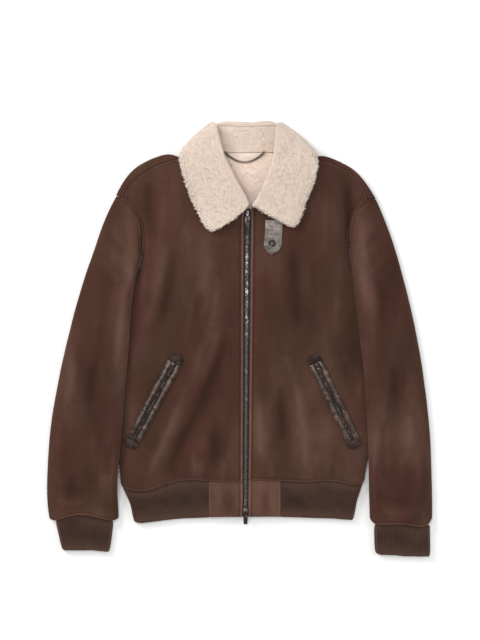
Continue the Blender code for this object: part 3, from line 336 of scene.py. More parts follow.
@dataclass(frozen=True)
class Fleece:
    """Cream shorn wool, with painted shade between its curls and at their roots, and painted light at their
    tips.
    """

    name: str = "fleece"
    root: Colour = (0.600, 0.493, 0.415)
    tip: Colour = (0.650, 0.543, 0.466)
    warm: Colour = (0.640, 0.516, 0.432)
    glow: float = 0.6  # how much of the light goes in under the surface, none where the wool is thin

    def make(self) -> Finish:
        """Returns the material."""
        r = Recipe(self.name, 0.98, Sheen_Weight=self.glow / 3, Sheen_Roughness=0.6, Specular_IOR_Level=0.1,
                   Sheen_Tint=(1.0, 0.93, 0.86, 1), Subsurface_Weight=self.glow, Subsurface_Scale=0.006,
                   Subsurface_Radius=(1.0, 0.8, 0.7))
        curl = r.noise(3.2, 4, None, 0.65, 0.8)
        warmth = r.noise(48, 3).within(0.42, 0.66)
        # painted shade at the roots and in the lumps' hollows, painted light at tips and on lumps, with random
        # curl tone
        light_and_tone = (0.6 * r.attribute("tip") + 0.6 * curl).within(-0.1, 0.75)
        wool = r.mix(warmth * 0.7, self.tip, self.warm)
        r.link("Base Color", r.mix(light_and_tone, self.root, wool))
        r.bump(0.6 * curl + 0.4 * r.cells(1.3), 0.18, 0.35)
        return r.material


@dataclass(frozen=True)
class RibKnit:
    """Dark brown wool rib: stitches in rows that bend over each rib, with painted light on each rib's ridge and
    painted shade between the ribs.
    """

    low: Colour = (0.0085, 0.0048, 0.0036)
    high: Colour = (0.077, 0.0425, 0.0315)
    row: float = 2.1

    def make(self) -> Finish:
        """Returns the material."""
        r = Recipe("rib_knit", 0.95, Sheen_Weight=0.2, Sheen_Roughness=0.5, Sheen_Tint=(0.7, 0.52, 0.43, 1),
                   Specular_IOR_Level=0.06)
        ridge = r.attribute("fold")
        rows = (r.waves(1, self.row) + ridge * 3.6 + r.noise(9, 2) * 1.5).crest()
        wool = r.noise(0.9, 3)
        # painted light on the ribs' ridges and painted shade between them, with random wool tone
        tone = 0.75 * ridge.within(-0.8, 0.8) + 0.15 * rows + 0.25 * wool + 0.2 * r.noise(30, 3)
        r.link("Base Color", r.mix(tone.within(0.2, 1.15), self.low, self.high))
        r.bump(0.7 * rows + 0.4 * wool, 0.45, 0.8)
        return r.material


@dataclass(frozen=True)
class GrainLeather:
    """Smooth leather with a fine grain and creases, paler on its ridges and edges, partly rubbed wear and
    partly painted highlight, with painted shade in its wrinkles' hollows.
    """

    name: str = "smooth_leather"
    deep: Colour = (0.0095, 0.0050, 0.0037)
    body: Colour = (0.036, 0.0180, 0.0125)
    rubbed_and_lit: Colour = (0.135, 0.079, 0.059)
    gloss: float = 0.2
    mottle: float = 26.0
    relief: float = 0.06
    shine: float = 0.36

    def make(self) -> Finish:
        """Returns the material."""
        r = Recipe(self.name, self.gloss, Coat_Roughness=0.2, Specular_IOR_Level=self.shine)
        grain = r.cells(0.9, "DISTANCE_TO_EDGE")
        crease = r.noise(self.mottle * 0.6, 4, None, 0.7, 1.6)
        patch = r.noise(self.mottle, 4, None, 0.6, 0.5)
        # pale where rubbed and where painted light falls, dark where painted shade falls, with random mottle
        wear_and_light = 0.8 * patch + 0.35 * crease + 0.35 * r.attribute("fold")
        colour = r.ramp(wear_and_light, (0.36, self.deep), (0.56, self.body), (0.86, self.rubbed_and_lit))
        r.link("Base Color", colour)
        r.link("Roughness", (self.gloss - 0.1) + 0.26 * crease)
        r.link("Coat Weight", (self.shine / 3) * patch)
        r.bump(0.35 * grain.within(0.0, 0.22) + 1.0 * crease, self.relief, 0.6)
        return r.material


@dataclass(frozen=True)
class Metal:
    """Cast metal, a little tarnished."""

    name: str = "dark_nickel"
    bright: Colour = (0.46, 0.45, 0.44)
    tarnish: Colour = (0.11, 0.105, 0.09)
    roughness: float = 0.26
    stain: float = 11.0
    dulls_below: float | None = None  # below this y it grows duller, over the run

    RUN = 90

    def make(self) -> Finish:
        """Returns the material."""
        r = Recipe(self.name, self.roughness, Metallic=1.0)
        stain = r.noise(self.stain, 3, None, 0.6).within(0.36, 0.58)
        if self.dulls_below is not None:
            dull = ((self.dulls_below * MM - r.axis(1)) * (1 / (self.RUN * MM))).within(0.0, 1.0)
            stain = (stain + 0.7 * dull).within(0.0, 1.0)
        scratch = r.noise(0.7, 3, r.place((1, 0.15, 1), 30))
        r.link("Base Color", r.mix(stain * 0.8 + 0.1 * scratch, self.bright, self.tarnish))
        r.link("Roughness", (self.roughness - 0.06) + 0.3 * stain * scratch + 0.08 * stain)
        r.bump(scratch, 0.05, 0.4)
        return r.material


@dataclass(frozen=True)
class Weave:
    """A woven tape, braid or thread."""

    name: str
    low: Colour
    high: Colour
    pitch: float

    def make(self) -> Finish:
        """Returns the material."""
        r = Recipe(self.name, 0.85, Sheen_Weight=0.2)
        x, y = r.waves(0, self.pitch), r.waves(1, self.pitch)
        ribs = (x + y).crest() * 0.6 + (x - y).crest() * 0.4
        tone = 0.7 * ribs + 0.3 * r.noise(0.8, 3)
        r.link("Base Color", r.mix(tone, self.low, self.high))
        r.bump(ribs, 0.2, 0.7)
        return r.material


@dataclass(frozen=True)
class LoopBraid:
    """The hanger loop's glossy twist, dark with one pale strand."""

    dark: Colour = (0.030, 0.016, 0.012)
    brown: Colour = (0.085, 0.048, 0.036)
    pale: Colour = (0.52, 0.40, 0.33)

    def make(self) -> Finish:
        """Returns the material."""
        r = Recipe("braid", 0.6, Sheen_Weight=0.15)
        thread = r.noise(0.8, 3)
        r.link("Base Color", r.mix(r.attribute("pale"), r.mix(thread, self.dark, self.brown), self.pale))
        r.bump(thread, 0.15, 0.6)
        return r.material


@dataclass(frozen=True)
class FloorPaint:
    """The pale floor."""

    colour: Colour = (0.86, 0.86, 0.86)

    def make(self) -> Finish:
        """Returns the material."""
        r = Recipe("pale_floor", 0.9, Specular_IOR_Level=0.1)
        r.link("Base Color", r.mix(r.noise(60, 2) * 0.04, self.colour, (0.8, 0.8, 0.8)))
        return r.material


class Finishes:
    """Every material, made once."""

    def __init__(self) -> None:
        """Makes the materials."""
        self.suede = Suede().make()
        self.fleece = Fleece().make()
        # paler wool: partly the shorn side's own tone, partly painted light that offsets the shade in the
        # neck's hollow
        self.shorn = Fleece("fleece_shorn", (0.715, 0.578, 0.502), (0.78, 0.643, 0.563),
                            (0.76, 0.61, 0.525)).make()
        self.tufts = Fleece("fleece_tufts", (0.68, 0.56, 0.47), (0.87, 0.76, 0.67),
                            (0.83, 0.70, 0.60), glow=0.0).make()
        self.rib = RibKnit().make()
        self.leather = GrainLeather().make()
        self.cap_leather = GrainLeather(
            "cap_leather", (0.008, 0.0045, 0.0035), (0.021, 0.0115, 0.0085), (0.062, 0.036, 0.027),
            gloss=0.42, mottle=12.0, relief=0.14, shine=0.1).make()
        self.grey = GrainLeather(
            "grey_leather", (0.050, 0.039, 0.033), (0.150, 0.124, 0.111), (0.285, 0.250, 0.235),
            gloss=0.42, mottle=12.0, relief=0.16).make()
        self.metal = Metal().make()
        self.teeth = Metal("zip_teeth", (0.58, 0.55, 0.55), (0.036, 0.029, 0.025), 0.28,
                           stain=13, dulls_below=60).make()
        self.dark_metal = Metal("burnished_metal", (0.122, 0.105, 0.096), (0.026, 0.022, 0.018), 0.36).make()
        self.tape = Weave("zip_tape", (0.010, 0.008, 0.007), (0.035, 0.024, 0.020), 1.0).make()
        self.braid = LoopBraid().make()
        self.thread = Weave("thread", (0.055, 0.028, 0.021), (0.13, 0.07, 0.054), 0.7).make()
        self.dark_thread = Weave("dark_thread", (0.012, 0.008, 0.006), (0.045, 0.028, 0.022), 0.7).make()
        self.floor = FloorPaint().make()


# ---- the bench: one piece at a time under Blender's operators ----
class Bench:
    """Selecting, copying, refining and measuring pieces."""

    @staticmethod
    def only(piece: Piece) -> None:
        """Makes a piece the only one selected, and the active one."""
        bpy.ops.object.select_all(action="DESELECT")
        piece.select_set(True)
        bpy.context.view_layer.objects.active = piece

    @staticmethod
    def copy_of(node: str, name: str) -> Piece:
        """A copy of a CAD node, its loose triangles merged and joined into four-sided faces."""
        piece = bpy.data.objects.new(name, frame["nodes"][node].data.copy())
        bpy.context.scene.collection.objects.link(piece)
        piece.data.materials.clear()
        Bench.only(piece)
        bpy.ops.mesh.customdata_custom_splitnormals_clear()
        bpy.ops.object.mode_set(mode="EDIT")
        bpy.ops.mesh.select_all(action="SELECT")
        bpy.ops.mesh.remove_doubles(threshold=0.02 * MM)
        bpy.ops.mesh.tris_convert_to_quads(face_threshold=radians(70), shape_threshold=radians(100))
        bpy.ops.object.mode_set(mode="OBJECT")
        return piece

    @staticmethod
    def refined(node: str, name: str, levels: int, held: float = 0.55, angle: float = 48) -> Piece:
        """A finer copy of a CAD node.

        Args:
            node: the CAD node.
            name: the piece's name.
            levels: levels of subdivision.
            held: how sharp its edges stay, from 0 to 1.
            angle: faces that meet at more than this many degrees form such an edge.

        Returns:
            The piece.
        """
        piece = Bench.copy_of(node, name)
        bpy.ops.object.mode_set(mode="EDIT")
        bpy.ops.mesh.select_mode(type="EDGE")
        bpy.ops.mesh.select_all(action="DESELECT")
        bpy.ops.mesh.edges_select_sharp(sharpness=radians(angle))
        bpy.ops.transform.edge_crease(value=held)
        bpy.ops.mesh.select_mode(type="VERT")
        bpy.ops.object.mode_set(mode="OBJECT")
        Bench.subdivide(piece, levels)
        return piece

    @staticmethod
    def subdivide(piece: Piece, levels: int) -> None:
        """Applies a Subdivision Surface modifier."""
        Bench.only(piece)
        smooth = piece.modifiers.new("finer", "SUBSURF")
        smooth.levels = smooth.render_levels = levels
        bpy.ops.object.modifier_apply(modifier=smooth.name)

    @staticmethod
    def points(piece: Piece) -> np.ndarray:
        """The piece's points in millimetres, a row each."""
        flat = np.empty(len(piece.data.vertices) * 3, np.float32)
        piece.data.vertices.foreach_get("co", flat)
        return flat.reshape(-1, 3).astype(float) / MM

    @staticmethod
    def set_points(piece: Piece, points: np.ndarray) -> None:
        """Moves the piece's points, given in millimetres."""
        piece.data.vertices.foreach_set("co", (points * MM).astype(np.float32).ravel())
        piece.data.update()

    @staticmethod
    def normals(piece: Piece) -> np.ndarray:
        """The piece's point normals, a row each."""
        flat = np.empty(len(piece.data.vertices) * 3, np.float32)
        piece.data.vertex_normals.foreach_get("vector", flat)
        return flat.reshape(-1, 3).astype(float)

    @staticmethod
    def shape(piece: Piece) -> tuple[np.ndarray, np.ndarray]:
        """The piece's points and their normals."""
        return Bench.points(piece), Bench.normals(piece)

    @staticmethod
    def write(piece: Piece, name: str, values: np.ndarray) -> None:
        """Stores a number at each point."""
        layer = piece.data.attributes.new(name, "FLOAT", "POINT")
        layer.data.foreach_set("value", values.astype(np.float32))

    @staticmethod
    def smooth(piece: Piece, angle: float | None = None) -> None:
        """Shades smooth, but for edges sharper than an angle in degrees where one is given."""
        Bench.only(piece)
        if angle is None:
            bpy.ops.object.shade_smooth()
        else:
            bpy.ops.object.shade_smooth_by_angle(angle=radians(angle))

    @staticmethod
    def mesh(name: str, points: np.ndarray, faces: Iterable[Sequence[int]]) -> Piece:
        """A new piece from points in millimetres and faces."""
        data = bpy.data.meshes.new(name)
        data.from_pydata((np.asarray(points, float) * MM).tolist(), [], [list(map(int, f)) for f in faces])
        piece = bpy.data.objects.new(name, data)
        bpy.context.scene.collection.objects.link(piece)
        return piece

    @staticmethod
    def joined(name: str, pieces: Sequence[Piece]) -> Piece:
        """Several pieces as one."""
        Bench.only(pieces[0])
        for piece in pieces:
            piece.select_set(True)
        if len(pieces) > 1:
            bpy.ops.object.join()
        pieces[0].name = name
        pieces[0].data.name = name
        return pieces[0]

    @staticmethod
    def settle(piece: Piece) -> Piece:
        """Puts the piece's place, turn and scale into its mesh."""
        Bench.only(piece)
        bpy.ops.object.transform_apply(location=True, rotation=True, scale=True)
        return piece

    @staticmethod
    def second(piece: Piece, chosen: np.ndarray) -> None:
        """Gives the chosen faces the piece's second material."""
        piece.data.polygons.foreach_set("material_index", chosen.astype(np.int32))

    @staticmethod
    def dress(piece: Piece, slot: Slot, *materials: Finish, nodes: Sequence[str] = (),
              body: Body = Body.JACKET) -> Piece:
        """Gives a piece its materials and body, and hides the CAD nodes that it stands for."""
        piece.data.materials.clear()
        for finish in materials:
            piece.data.materials.append(finish)
        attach(piece, body.value)
        if nodes:
            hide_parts(*nodes)
        LOG.info("%s: %d faces", piece.name, len(piece.data.polygons))
        return piece


# ---- cloth relief ----
FAR = 1e9
TINY = 1e-9
ABOVE = 200  # higher than every piece


@dataclass(frozen=True)
class Crease:
    """A soft ridge, or a trough where its height is negative, along a bent line that dies out at its ends."""

    start: Plan
    via: Plan
    end: Plan
    half_width: float
    height: float

    def line(self, steps: int = 9) -> np.ndarray:
        """Points along the bent line."""
        t = np.linspace(0, 1, steps)[:, None]
        a, b, c = (np.array(p, float) for p in (self.start, self.via, self.end))
        return (1 - t) ** 2 * a + 2 * t * (1 - t) * b + t * t * c

    def at(self, plan: np.ndarray, spread: float = 1.0) -> np.ndarray:
        """How far it lifts the cloth at plan points, or how its shading reaches where spread is more than 1."""
        line = self.line()
        gap = np.full(len(plan), FAR)
        share = np.zeros(len(plan))
        for k, (p, q) in enumerate(zip(line, line[1:])):
            away, t = to_segment(plan, p, q)
            nearer = away < gap
            gap = np.where(nearer, away, gap)
            share = np.where(nearer, (k + t) / (len(line) - 1), share)
        fade = bell(gap, 0, self.half_width * spread)
        return self.height * fade * np.maximum(0, np.sin(pi * share)) ** (0.5 if spread == 1 else 1.2)


def creases(*rows: Sequence[float]) -> tuple[Crease, ...]:
    """Creases from rows of numbers: start x y, via x y, end x y, half width, height."""
    return tuple(Crease(tuple(row[:2]), tuple(row[2:4]), tuple(row[4:6]), *row[6:]) for row in rows)


def upward(normals: np.ndarray, gain: float = 2) -> np.ndarray:
    """How much points face up, from 0 to 1."""
    return np.clip(normals[:, 2] * gain, 0, 1)


def bell(gap: np.ndarray, middle: float, width: float) -> np.ndarray:
    """A smooth bell over a gap: 1 at its middle, about a third at a width from it."""
    return np.exp(-(((gap - middle) / width) ** 2))


def unit(rows: np.ndarray) -> np.ndarray:
    """Rows brought to length 1."""
    return rows / np.maximum(np.linalg.norm(rows, axis=1), TINY)[:, None]


def to_segment(plan: np.ndarray, p: np.ndarray, q: np.ndarray) -> tuple[np.ndarray, np.ndarray]:
    """How far plan points are from the straight line from p to q, and how far along it they are nearest."""
    run = q - p
    t = np.clip(((plan - p) @ run) / (run @ run), 0, 1)
    return np.linalg.norm(plan - p - t[:, None] * run, axis=1), t


def away_from(line: Sequence[Plan], plan: np.ndarray) -> np.ndarray:
    """How far plan points are from a line."""
    gap = np.full(len(plan), FAR)
    for p, q in zip(np.array(line[:-1], float), np.array(line[1:], float)):
        gap = np.minimum(gap, to_segment(plan, p, q)[0])
    return gap


def ripple(points: np.ndarray, size: float, seed: float) -> np.ndarray:
    """Soft uneven swells between -1 and 1, about size millimetres across."""
    return np.array([noise.noise(Vector((p[0] / size, p[1] / size, p[2] / size + seed))) for p in points])


def neighbours_mean(piece: Piece, values: np.ndarray, rounds: int) -> np.ndarray:
    """Values smoothed over the piece's edges."""
    ends = np.empty(len(piece.data.edges) * 2, np.int32)
    piece.data.edges.foreach_get("vertices", ends)
    a, b = ends[::2], ends[1::2]
    count = np.bincount(a, minlength=len(values)) + np.bincount(b, minlength=len(values))
    for _ in range(rounds):
        total = np.bincount(a, values[b], len(values)) + np.bincount(b, values[a], len(values))
        values = 0.5 * values + 0.5 * total / np.maximum(count, 1)
    return values


def stands_out(piece: Piece, rounds: int) -> np.ndarray:
    """How far each point stands over the piece's form after some rounds of smoothing, along its normal."""
    points, normals = Bench.shape(piece)
    means = np.stack([neighbours_mean(piece, points[:, k], rounds) for k in range(3)], axis=1)
    return ((points - means) * normals).sum(axis=1)


def read_folds(piece: Piece, fine: int, broad: int, gain: float) -> None:
    """Stores how far each point stands over the cloth round it: ridges and edges above 0, troughs below."""
    value = stands_out(piece, fine) + 0.6 * stands_out(piece, broad)
    Bench.write(piece, "fold", np.clip(value * gain, -1, 1))


def tree_of(piece: Piece) -> BVHTree:
    """The piece's faces, ready for rays, in metres."""
    faces = [tuple(f.vertices) for f in piece.data.polygons]
    return BVHTree.FromPolygons([v.co.copy() for v in piece.data.vertices], faces)


def surface(piece: Piece) -> Height:
    """A function that gives the height of a piece's upper side at a plan point, all in millimetres."""
    tree = tree_of(piece)

    def height(x: float, y: float) -> float:
        """The height at (x, y), or 0 off the piece."""
        hit = tree.ray_cast(Vector((x * MM, y * MM, ABOVE * MM)), Vector((0, 0, -1)))[0]
        return hit.z / MM if hit else 0.0

    return height


def along(line: Sequence[Plan], pitch: float) -> list[tuple[Plan, Plan]]:
    """Places every pitch millimetres along a line, each with the line's direction there."""
    places, left = [], pitch / 2
    for p, q in zip(line, line[1:]):
        size = hypot(q[0] - p[0], q[1] - p[1])
        way = ((q[0] - p[0]) / size, (q[1] - p[1]) / size)
        while left < size:
            places.append(((p[0] + way[0] * left, p[1] + way[1] * left), way))
            left += pitch
        left -= size
    return places


def beside(line: Sequence[Plan], gap: float) -> list[Plan]:
    """A line moved sideways by a gap, to the left of its run."""
    moved = []
    for k, p in enumerate(line):
        a, b = line[max(k - 1, 0)], line[min(k + 1, len(line) - 1)]
        size = hypot(b[0] - a[0], b[1] - a[1])
        moved.append((p[0] - gap * (b[1] - a[1]) / size, p[1] + gap * (b[0] - a[0]) / size))
    return moved


def rounded(line: Sequence[Plan], rounds: int = 2) -> list[Plan]:
    """A line with its corners cut, so that it bends smoothly."""
    for _ in range(rounds):
        cut = [line[0]]
        for p, q in zip(line, line[1:]):
            cut.append((0.75 * p[0] + 0.25 * q[0], 0.75 * p[1] + 0.25 * q[1]))
            cut.append((0.25 * p[0] + 0.75 * q[0], 0.25 * p[1] + 0.75 * q[1]))
        line = cut + [line[-1]]
    return list(line)


def ring_faces(rings: int, sides: int) -> Faces:
    """Faces of a closed tube whose rings run anticlockwise about the way that it goes."""
    walls = []
    for low in range(0, (rings - 1) * sides, sides):
        high = low + sides
        walls += [(low + s, low + (s + 1) % sides, high + (s + 1) % sides, high + s) for s in range(sides)]
    last = (rings - 1) * sides
    return [*walls, tuple(range(sides))[::-1], tuple(range(last, last + sides))]


# ---- stitching ----
@dataclass
class Stitching:
    """Rows of stitches, each a small rounded bar of thread pressed into the cloth."""

    name: str
    long: float = 2.7
    pitch: float = 3.6
    thick: float = 0.75
    rows: list[tuple[Sequence[Plan], Height]] = field(default_factory=list)

    SIDES = 6

    def bar(self) -> tuple[np.ndarray, Faces]:
        """One stitch along +x: points and faces."""
        half, r = self.long / 2, self.thick / 2
        rings = ((-half, 0.35, -0.5), (-half * 0.6, 1.0, 0.0), (half * 0.6, 1.0, 0.0), (half, 0.35, -0.5))
        turns = [2 * pi * s / self.SIDES for s in range(self.SIDES)]
        points = [(x, r * k * cos(a), r * (k * sin(a) + drop)) for x, k, drop in rings for a in turns]
        return np.array(points), ring_faces(len(rings), self.SIDES)

    def make(self, finish: Finish, slot: Slot) -> None:
        """Sews every row and makes them one piece."""
        bar, faces = self.bar()
        points, all_faces = [], []
        for line, height in self.rows:
            for (x, y), (dx, dy) in along(line, self.pitch):
                before, after = (height(x + s * dx * self.long / 2, y + s * dy * self.long / 2)
                                 for s in (-1, 1))
                if min(before, after) <= 0 or abs(after - before) > self.long:
                    continue
                base = len(points) * len(bar)
                slope = (after - before) / self.long
                turned = np.stack([bar[:, 0] * dx - bar[:, 1] * dy, bar[:, 0] * dy + bar[:, 1] * dx,
                                   bar[:, 2] + bar[:, 0] * slope], axis=1)
                points.append(turned + (x, y, (before + after) / 2 + 0.1 * self.thick))
                all_faces += [tuple(base + k for k in f) for f in faces]
        piece = Bench.mesh(self.name, np.concatenate(points), all_faces)
        Bench.smooth(piece)
        Bench.dress(piece, slot, finish)


# ---- wool ----
@dataclass
class Locks:
    """Small curled locks of wool on a piece's faces."""

    name: str
    count: int
    long: float
    thick: float
    lean: tuple[float, float]  # least and most angle from upright, in radians
    seed: int
    vary: tuple[float, float] = (0.65, 1.25)  # least and most length, as a share of long

    PAINTED_LIGHT = (0.35, 0.35, 0.35, 0.75, 0.75, 0.75, 1.0)  # painted shade at a lock's root and painted light at its tip: how light its two rings and its tip are
    SUNK = 0.5  # how deep its root goes in
    ROOT, WAIST = 0.55, 0.42  # how wide its rings are, in thicknesses
    SCATTER = 0.55  # how much a combed lock goes its own way

    def roots(self, piece: Piece, chosen: Chooser,
              draw: np.random.Generator) -> tuple[np.ndarray, np.ndarray]:
        """Places drawn evenly over the chosen faces, and the faces' normals there."""
        data = piece.data
        data.calc_loop_triangles()
        points = Bench.points(piece)[np.array([t.vertices[:] for t in data.loop_triangles])]
        cross = np.cross(points[:, 1] - points[:, 0], points[:, 2] - points[:, 0])
        normal = unit(cross)
        weight = np.linalg.norm(cross, axis=1) * chosen(points.mean(axis=1), normal)
        face = draw.choice(len(weight), self.count, p=weight / weight.sum())
        u, v = draw.random(self.count), draw.random(self.count)
        flip = u + v > 1
        u, v = np.where(flip, 1 - u, u), np.where(flip, 1 - v, v)
        p = points[face]
        return p[:, 0] + u[:, None] * (p[:, 1] - p[:, 0]) + v[:, None] * (p[:, 2] - p[:, 0]), normal[face]

    def faces(self) -> Faces:
        """Walls from ring to ring, then the tips and the closed roots."""
        base = len(self.PAINTED_LIGHT) * np.arange(self.count)
        upper = base + 3
        walls = [(base + a, base + (a + 1) % 3, upper + (a + 1) % 3, upper + a) for a in range(3)]
        ends = [(upper + a, upper + (a + 1) % 3, upper + 3) for a in range(3)] + [(base + 2, base + 1, base)]
        quads = np.stack([np.stack(f, axis=1) for f in walls], axis=1).reshape(-1, 4)
        triangles = np.stack([np.stack(f, axis=1) for f in ends], axis=1).reshape(-1, 3)
        return [*quads.tolist(), *triangles.tolist()]

    def grow(self, piece: Piece, chosen: Chooser, finish: Finish,
             comb: Callable[[np.ndarray], np.ndarray] | None = None) -> None:
        """Scatters the locks and makes them one piece.

        Args:
            piece: what they grow on.
            chosen: says which faces carry wool, from their middles in millimetres and their normals.
            finish: the wool.
            comb: gives the way that the locks lie at each root, or None for every way.
        """
        draw = np.random.default_rng(self.seed)
        root, up = self.roots(piece, chosen, draw)
        way = draw.normal(size=(self.count, 3))
        if comb is not None:
            way = way * self.SCATTER + comb(root)
        way = unit(way - (way * up).sum(axis=1)[:, None] * up)
        aside = np.cross(up, way)
        long = self.long * draw.uniform(*self.vary, self.count)[:, None]
        lean = draw.uniform(*self.lean, self.count)[:, None]
        thick = self.thick * draw.uniform(0.7, 1.2, self.count)[:, None]
        curl = draw.uniform(-0.5, 0.5, self.count)[:, None] * long
        middle = (root + long * (0.45 * np.cos(lean * 0.6) * up + 0.45 * np.sin(lean * 0.6) * way)
                  + 0.5 * curl * aside)
        tip = root + long * (0.72 * np.cos(lean) * up + 0.95 * np.sin(lean) * way) - 0.15 * curl * aside
        axis = unit(tip - root)
        across = unit(np.cross(up, axis))
        over = np.cross(axis, across)
        centres = ((root - self.SUNK * up, self.ROOT), (middle, self.WAIST))
        rings = [centre + spread * thick * (cos(2 * pi * k / 3) * across + sin(2 * pi * k / 3) * over)
                 for centre, spread in centres for k in range(3)]
        wool = Bench.mesh(self.name, np.stack([*rings, tip], axis=1).reshape(-1, 3), self.faces())
        # painted shade at each lock's root and painted light at its tip, varied at random per lock
        light_and_tone = np.tile(np.array(self.PAINTED_LIGHT), self.count)
        Bench.write(wool, "tip", light_and_tone * np.repeat(draw.uniform(0.75, 1.1, self.count), len(self.PAINTED_LIGHT)))
        Bench.smooth(wool)
        Bench.dress(wool, Slot.FLEECE, finish)


# ---- shearling panels ----
@dataclass(frozen=True)
class Seam:
    """A sewn edge: a rolled edge, paler partly from rubbed wear and partly from a painted highlight, and the
    groove that its stitches pull in, with painted shade in it.
    """

    line: tuple[Plan, ...]
    edge: float = 0.8  # the rolled edge's way from the line
    sewn: float = 4.0  # the groove's way from the line
    roll: float = 0.4  # height
    groove: float = 0.6  # depth
    wear_and_light: float = 0.6  # how far its edge is paler, from rubbed wear and a painted highlight, from 0 to 1


@dataclass
class ShearlingPanel:
    """A panel of shearling on the form of its solid: suede outside, shorn fleece inside."""

    node: str
    cut: tuple[float, float]
    cut_area: float
    rests_on: tuple[str, ...]
    swell: float = 0.45
    seed: float = 0.0
    creases: tuple[Crease, ...] = ()
    seams: tuple[Seam, ...] = ()
    shades: tuple[Crease, ...] = ()
    light: float = 0.0  # how pale its nap is brushed all over

    LEVELS = 3
    DEPTH = 1.9  # how deep a crease of height 1 is
    NAP_AND_SHADE_LIMIT = 1.8
    BROAD, FINE, PUCKER = 34, 13, 6  # sizes of its swells, and of the puckers along its seams
    ROLL_WIDE, GROOVE_WIDE, WORN_WIDE, SHADE_WIDE = 1.7, 1.8, 1.5, 1.2
    HELD, FREED = 8, 26  # how far from a pocket it is held flat, and over what run it comes free

    def press(self, piece: Piece) -> None:
        """Presses the creases, seams and soft swells into the upper side, and stores how its nap lies, with
        painted shade and light along the creases, shade bands and seam grooves.
        """
        points, normals = Bench.shape(piece)
        plan, up = points[:, :2], np.clip(normals[:, 2] * 1.6 - 0.3, 0, 1)
        lift, nap = np.zeros(len(points)), np.full(len(points), self.light)
        for crease in self.creases:
            lift += self.DEPTH * crease.at(plan)
            # painted shade along crease troughs and painted light along their ridges, wider than their relief
            nap += crease.at(plan, 2.0) / 9
        for shade in self.shades:
            # bands of painted light and painted shade along the folds
            nap += shade.at(plan, 1.5)
        fine = 0.5 * ripple(points, self.FINE, self.seed + 5)
        lift += self.swell * (ripple(points, self.BROAD, self.seed) + fine)
        lift *= self.free(points)
        wear_and_light = np.zeros(len(points))
        pucker = 1 + 0.5 * ripple(points, self.PUCKER, self.seed + 9)
        for seam in self.seams:
            gap = away_from(seam.line, plan)
            lift += seam.roll * bell(gap, seam.edge, self.ROLL_WIDE) * pucker
            lift -= seam.groove * bell(gap, seam.sewn, self.GROOVE_WIDE) * pucker
            wear_and_light = np.maximum(wear_and_light, seam.wear_and_light * bell(gap, seam.edge, self.WORN_WIDE))
            # painted shade in the seam's groove
            nap -= 0.9 * seam.groove * bell(gap, seam.sewn, self.SHADE_WIDE)
        points[:, 2] += lift * up
        Bench.set_points(piece, points)
        Bench.write(piece, "nap", np.clip(nap, -self.NAP_AND_SHADE_LIMIT, self.NAP_AND_SHADE_LIMIT))
        # paler only where the edge faces up: partly rubbed wear, partly painted highlight
        Bench.write(piece, "seam", wear_and_light * upward(normals))

    def free(self, points: np.ndarray) -> np.ndarray:
        """Where the cloth is free to crease: not under the pockets, which discs along their lines cover."""
        share = np.ones(len(points))
        for start, end in POCKET_LINE.values():
            line = Crease(start, ((start[0] + end[0]) / 2, (start[1] + end[1]) / 2), end, 1, 1).line(5)
            gap = np.min([np.linalg.norm(points[:, :2] - (p + q) / 2, axis=1) - np.linalg.norm(q - p) / 2
                          for p, q in zip(line, line[1:])], axis=0)
            share *= np.clip((gap - self.HELD) / self.FREED, 0, 1)
        return share

    def inside(self, piece: Piece) -> np.ndarray:
        """Which faces are the fleece side."""
        return np.array([f.normal.z < -0.4 for f in piece.data.polygons])

    def make(self, finishes: Finishes) -> Piece:
        piece = Bench.refined(self.node, f"{self.node}_shearling", self.LEVELS)
        self.press(piece)
        # ridges and edges stored here are painted lighter in the suede, troughs painted darker
        read_folds(piece, 6, 40, 0.8)
        Bench.smooth(piece)
        Bench.dress(piece, Slot.SUEDE, finishes.suede, finishes.shorn, nodes=(self.node,))
        Bench.second(piece, self.inside(piece))
        self.cut[0] * MM
        self.cut[1] * MM
        self.cut_area * MM * MM
        return piece


@dataclass
class Sleeve(ShearlingPanel):
    """A sleeve, cut in one and sewn to a tube."""

    AIR = 9.0  # the most room between its two inner faces
    START = 0.3  # how far off a face its ray sets out

    def free(self, points: np.ndarray) -> np.ndarray:
        """A sleeve creases all over."""
        return np.ones(len(points))

    def inside(self, piece: Piece) -> np.ndarray:
        """The faces that look into the tube: another wall faces them from just before them."""
        tree = tree_of(piece)
        found = []
        for f in piece.data.polygons:
            normal = tree.ray_cast(f.center + f.normal * self.START * MM, f.normal, self.AIR * MM)[1]
            found.append(normal is not None and normal.dot(f.normal) < -0.5)
        return np.array(found)


@dataclass
class Back(ShearlingPanel):
    """The back, which wraps over the shoulders to the forward seams. Its fleece side shows in the neck."""

    MIDDLE = 15.5
    NECK = 80  # half of the neck's width

    def inside(self, piece: Piece) -> np.ndarray:
        """The upper side, apart from the shoulders' wrap over to their seams."""
        found = []
        for f in piece.data.polygons:
            x, y = f.center.x / MM, f.center.y / MM
            seam = sorted(SHOULDER_SEAM[Side.LEFT if x > 0 else Side.RIGHT])
            wrapped = abs(x - self.MIDDLE) > self.NECK and y > np.interp(x, *zip(*seam)) - 2
            found.append(f.normal.z > 0.3 and not wrapped)
        return np.array(found)


@dataclass
class HemEnd(ShearlingPanel):
    """A suede panel at the hem, folded double, with a row of stitches just inside its edge."""

    def inside(self, piece: Piece) -> np.ndarray:
        """It is folded over, so suede shows on both sides."""
        return np.zeros(len(piece.data.polygons), bool)


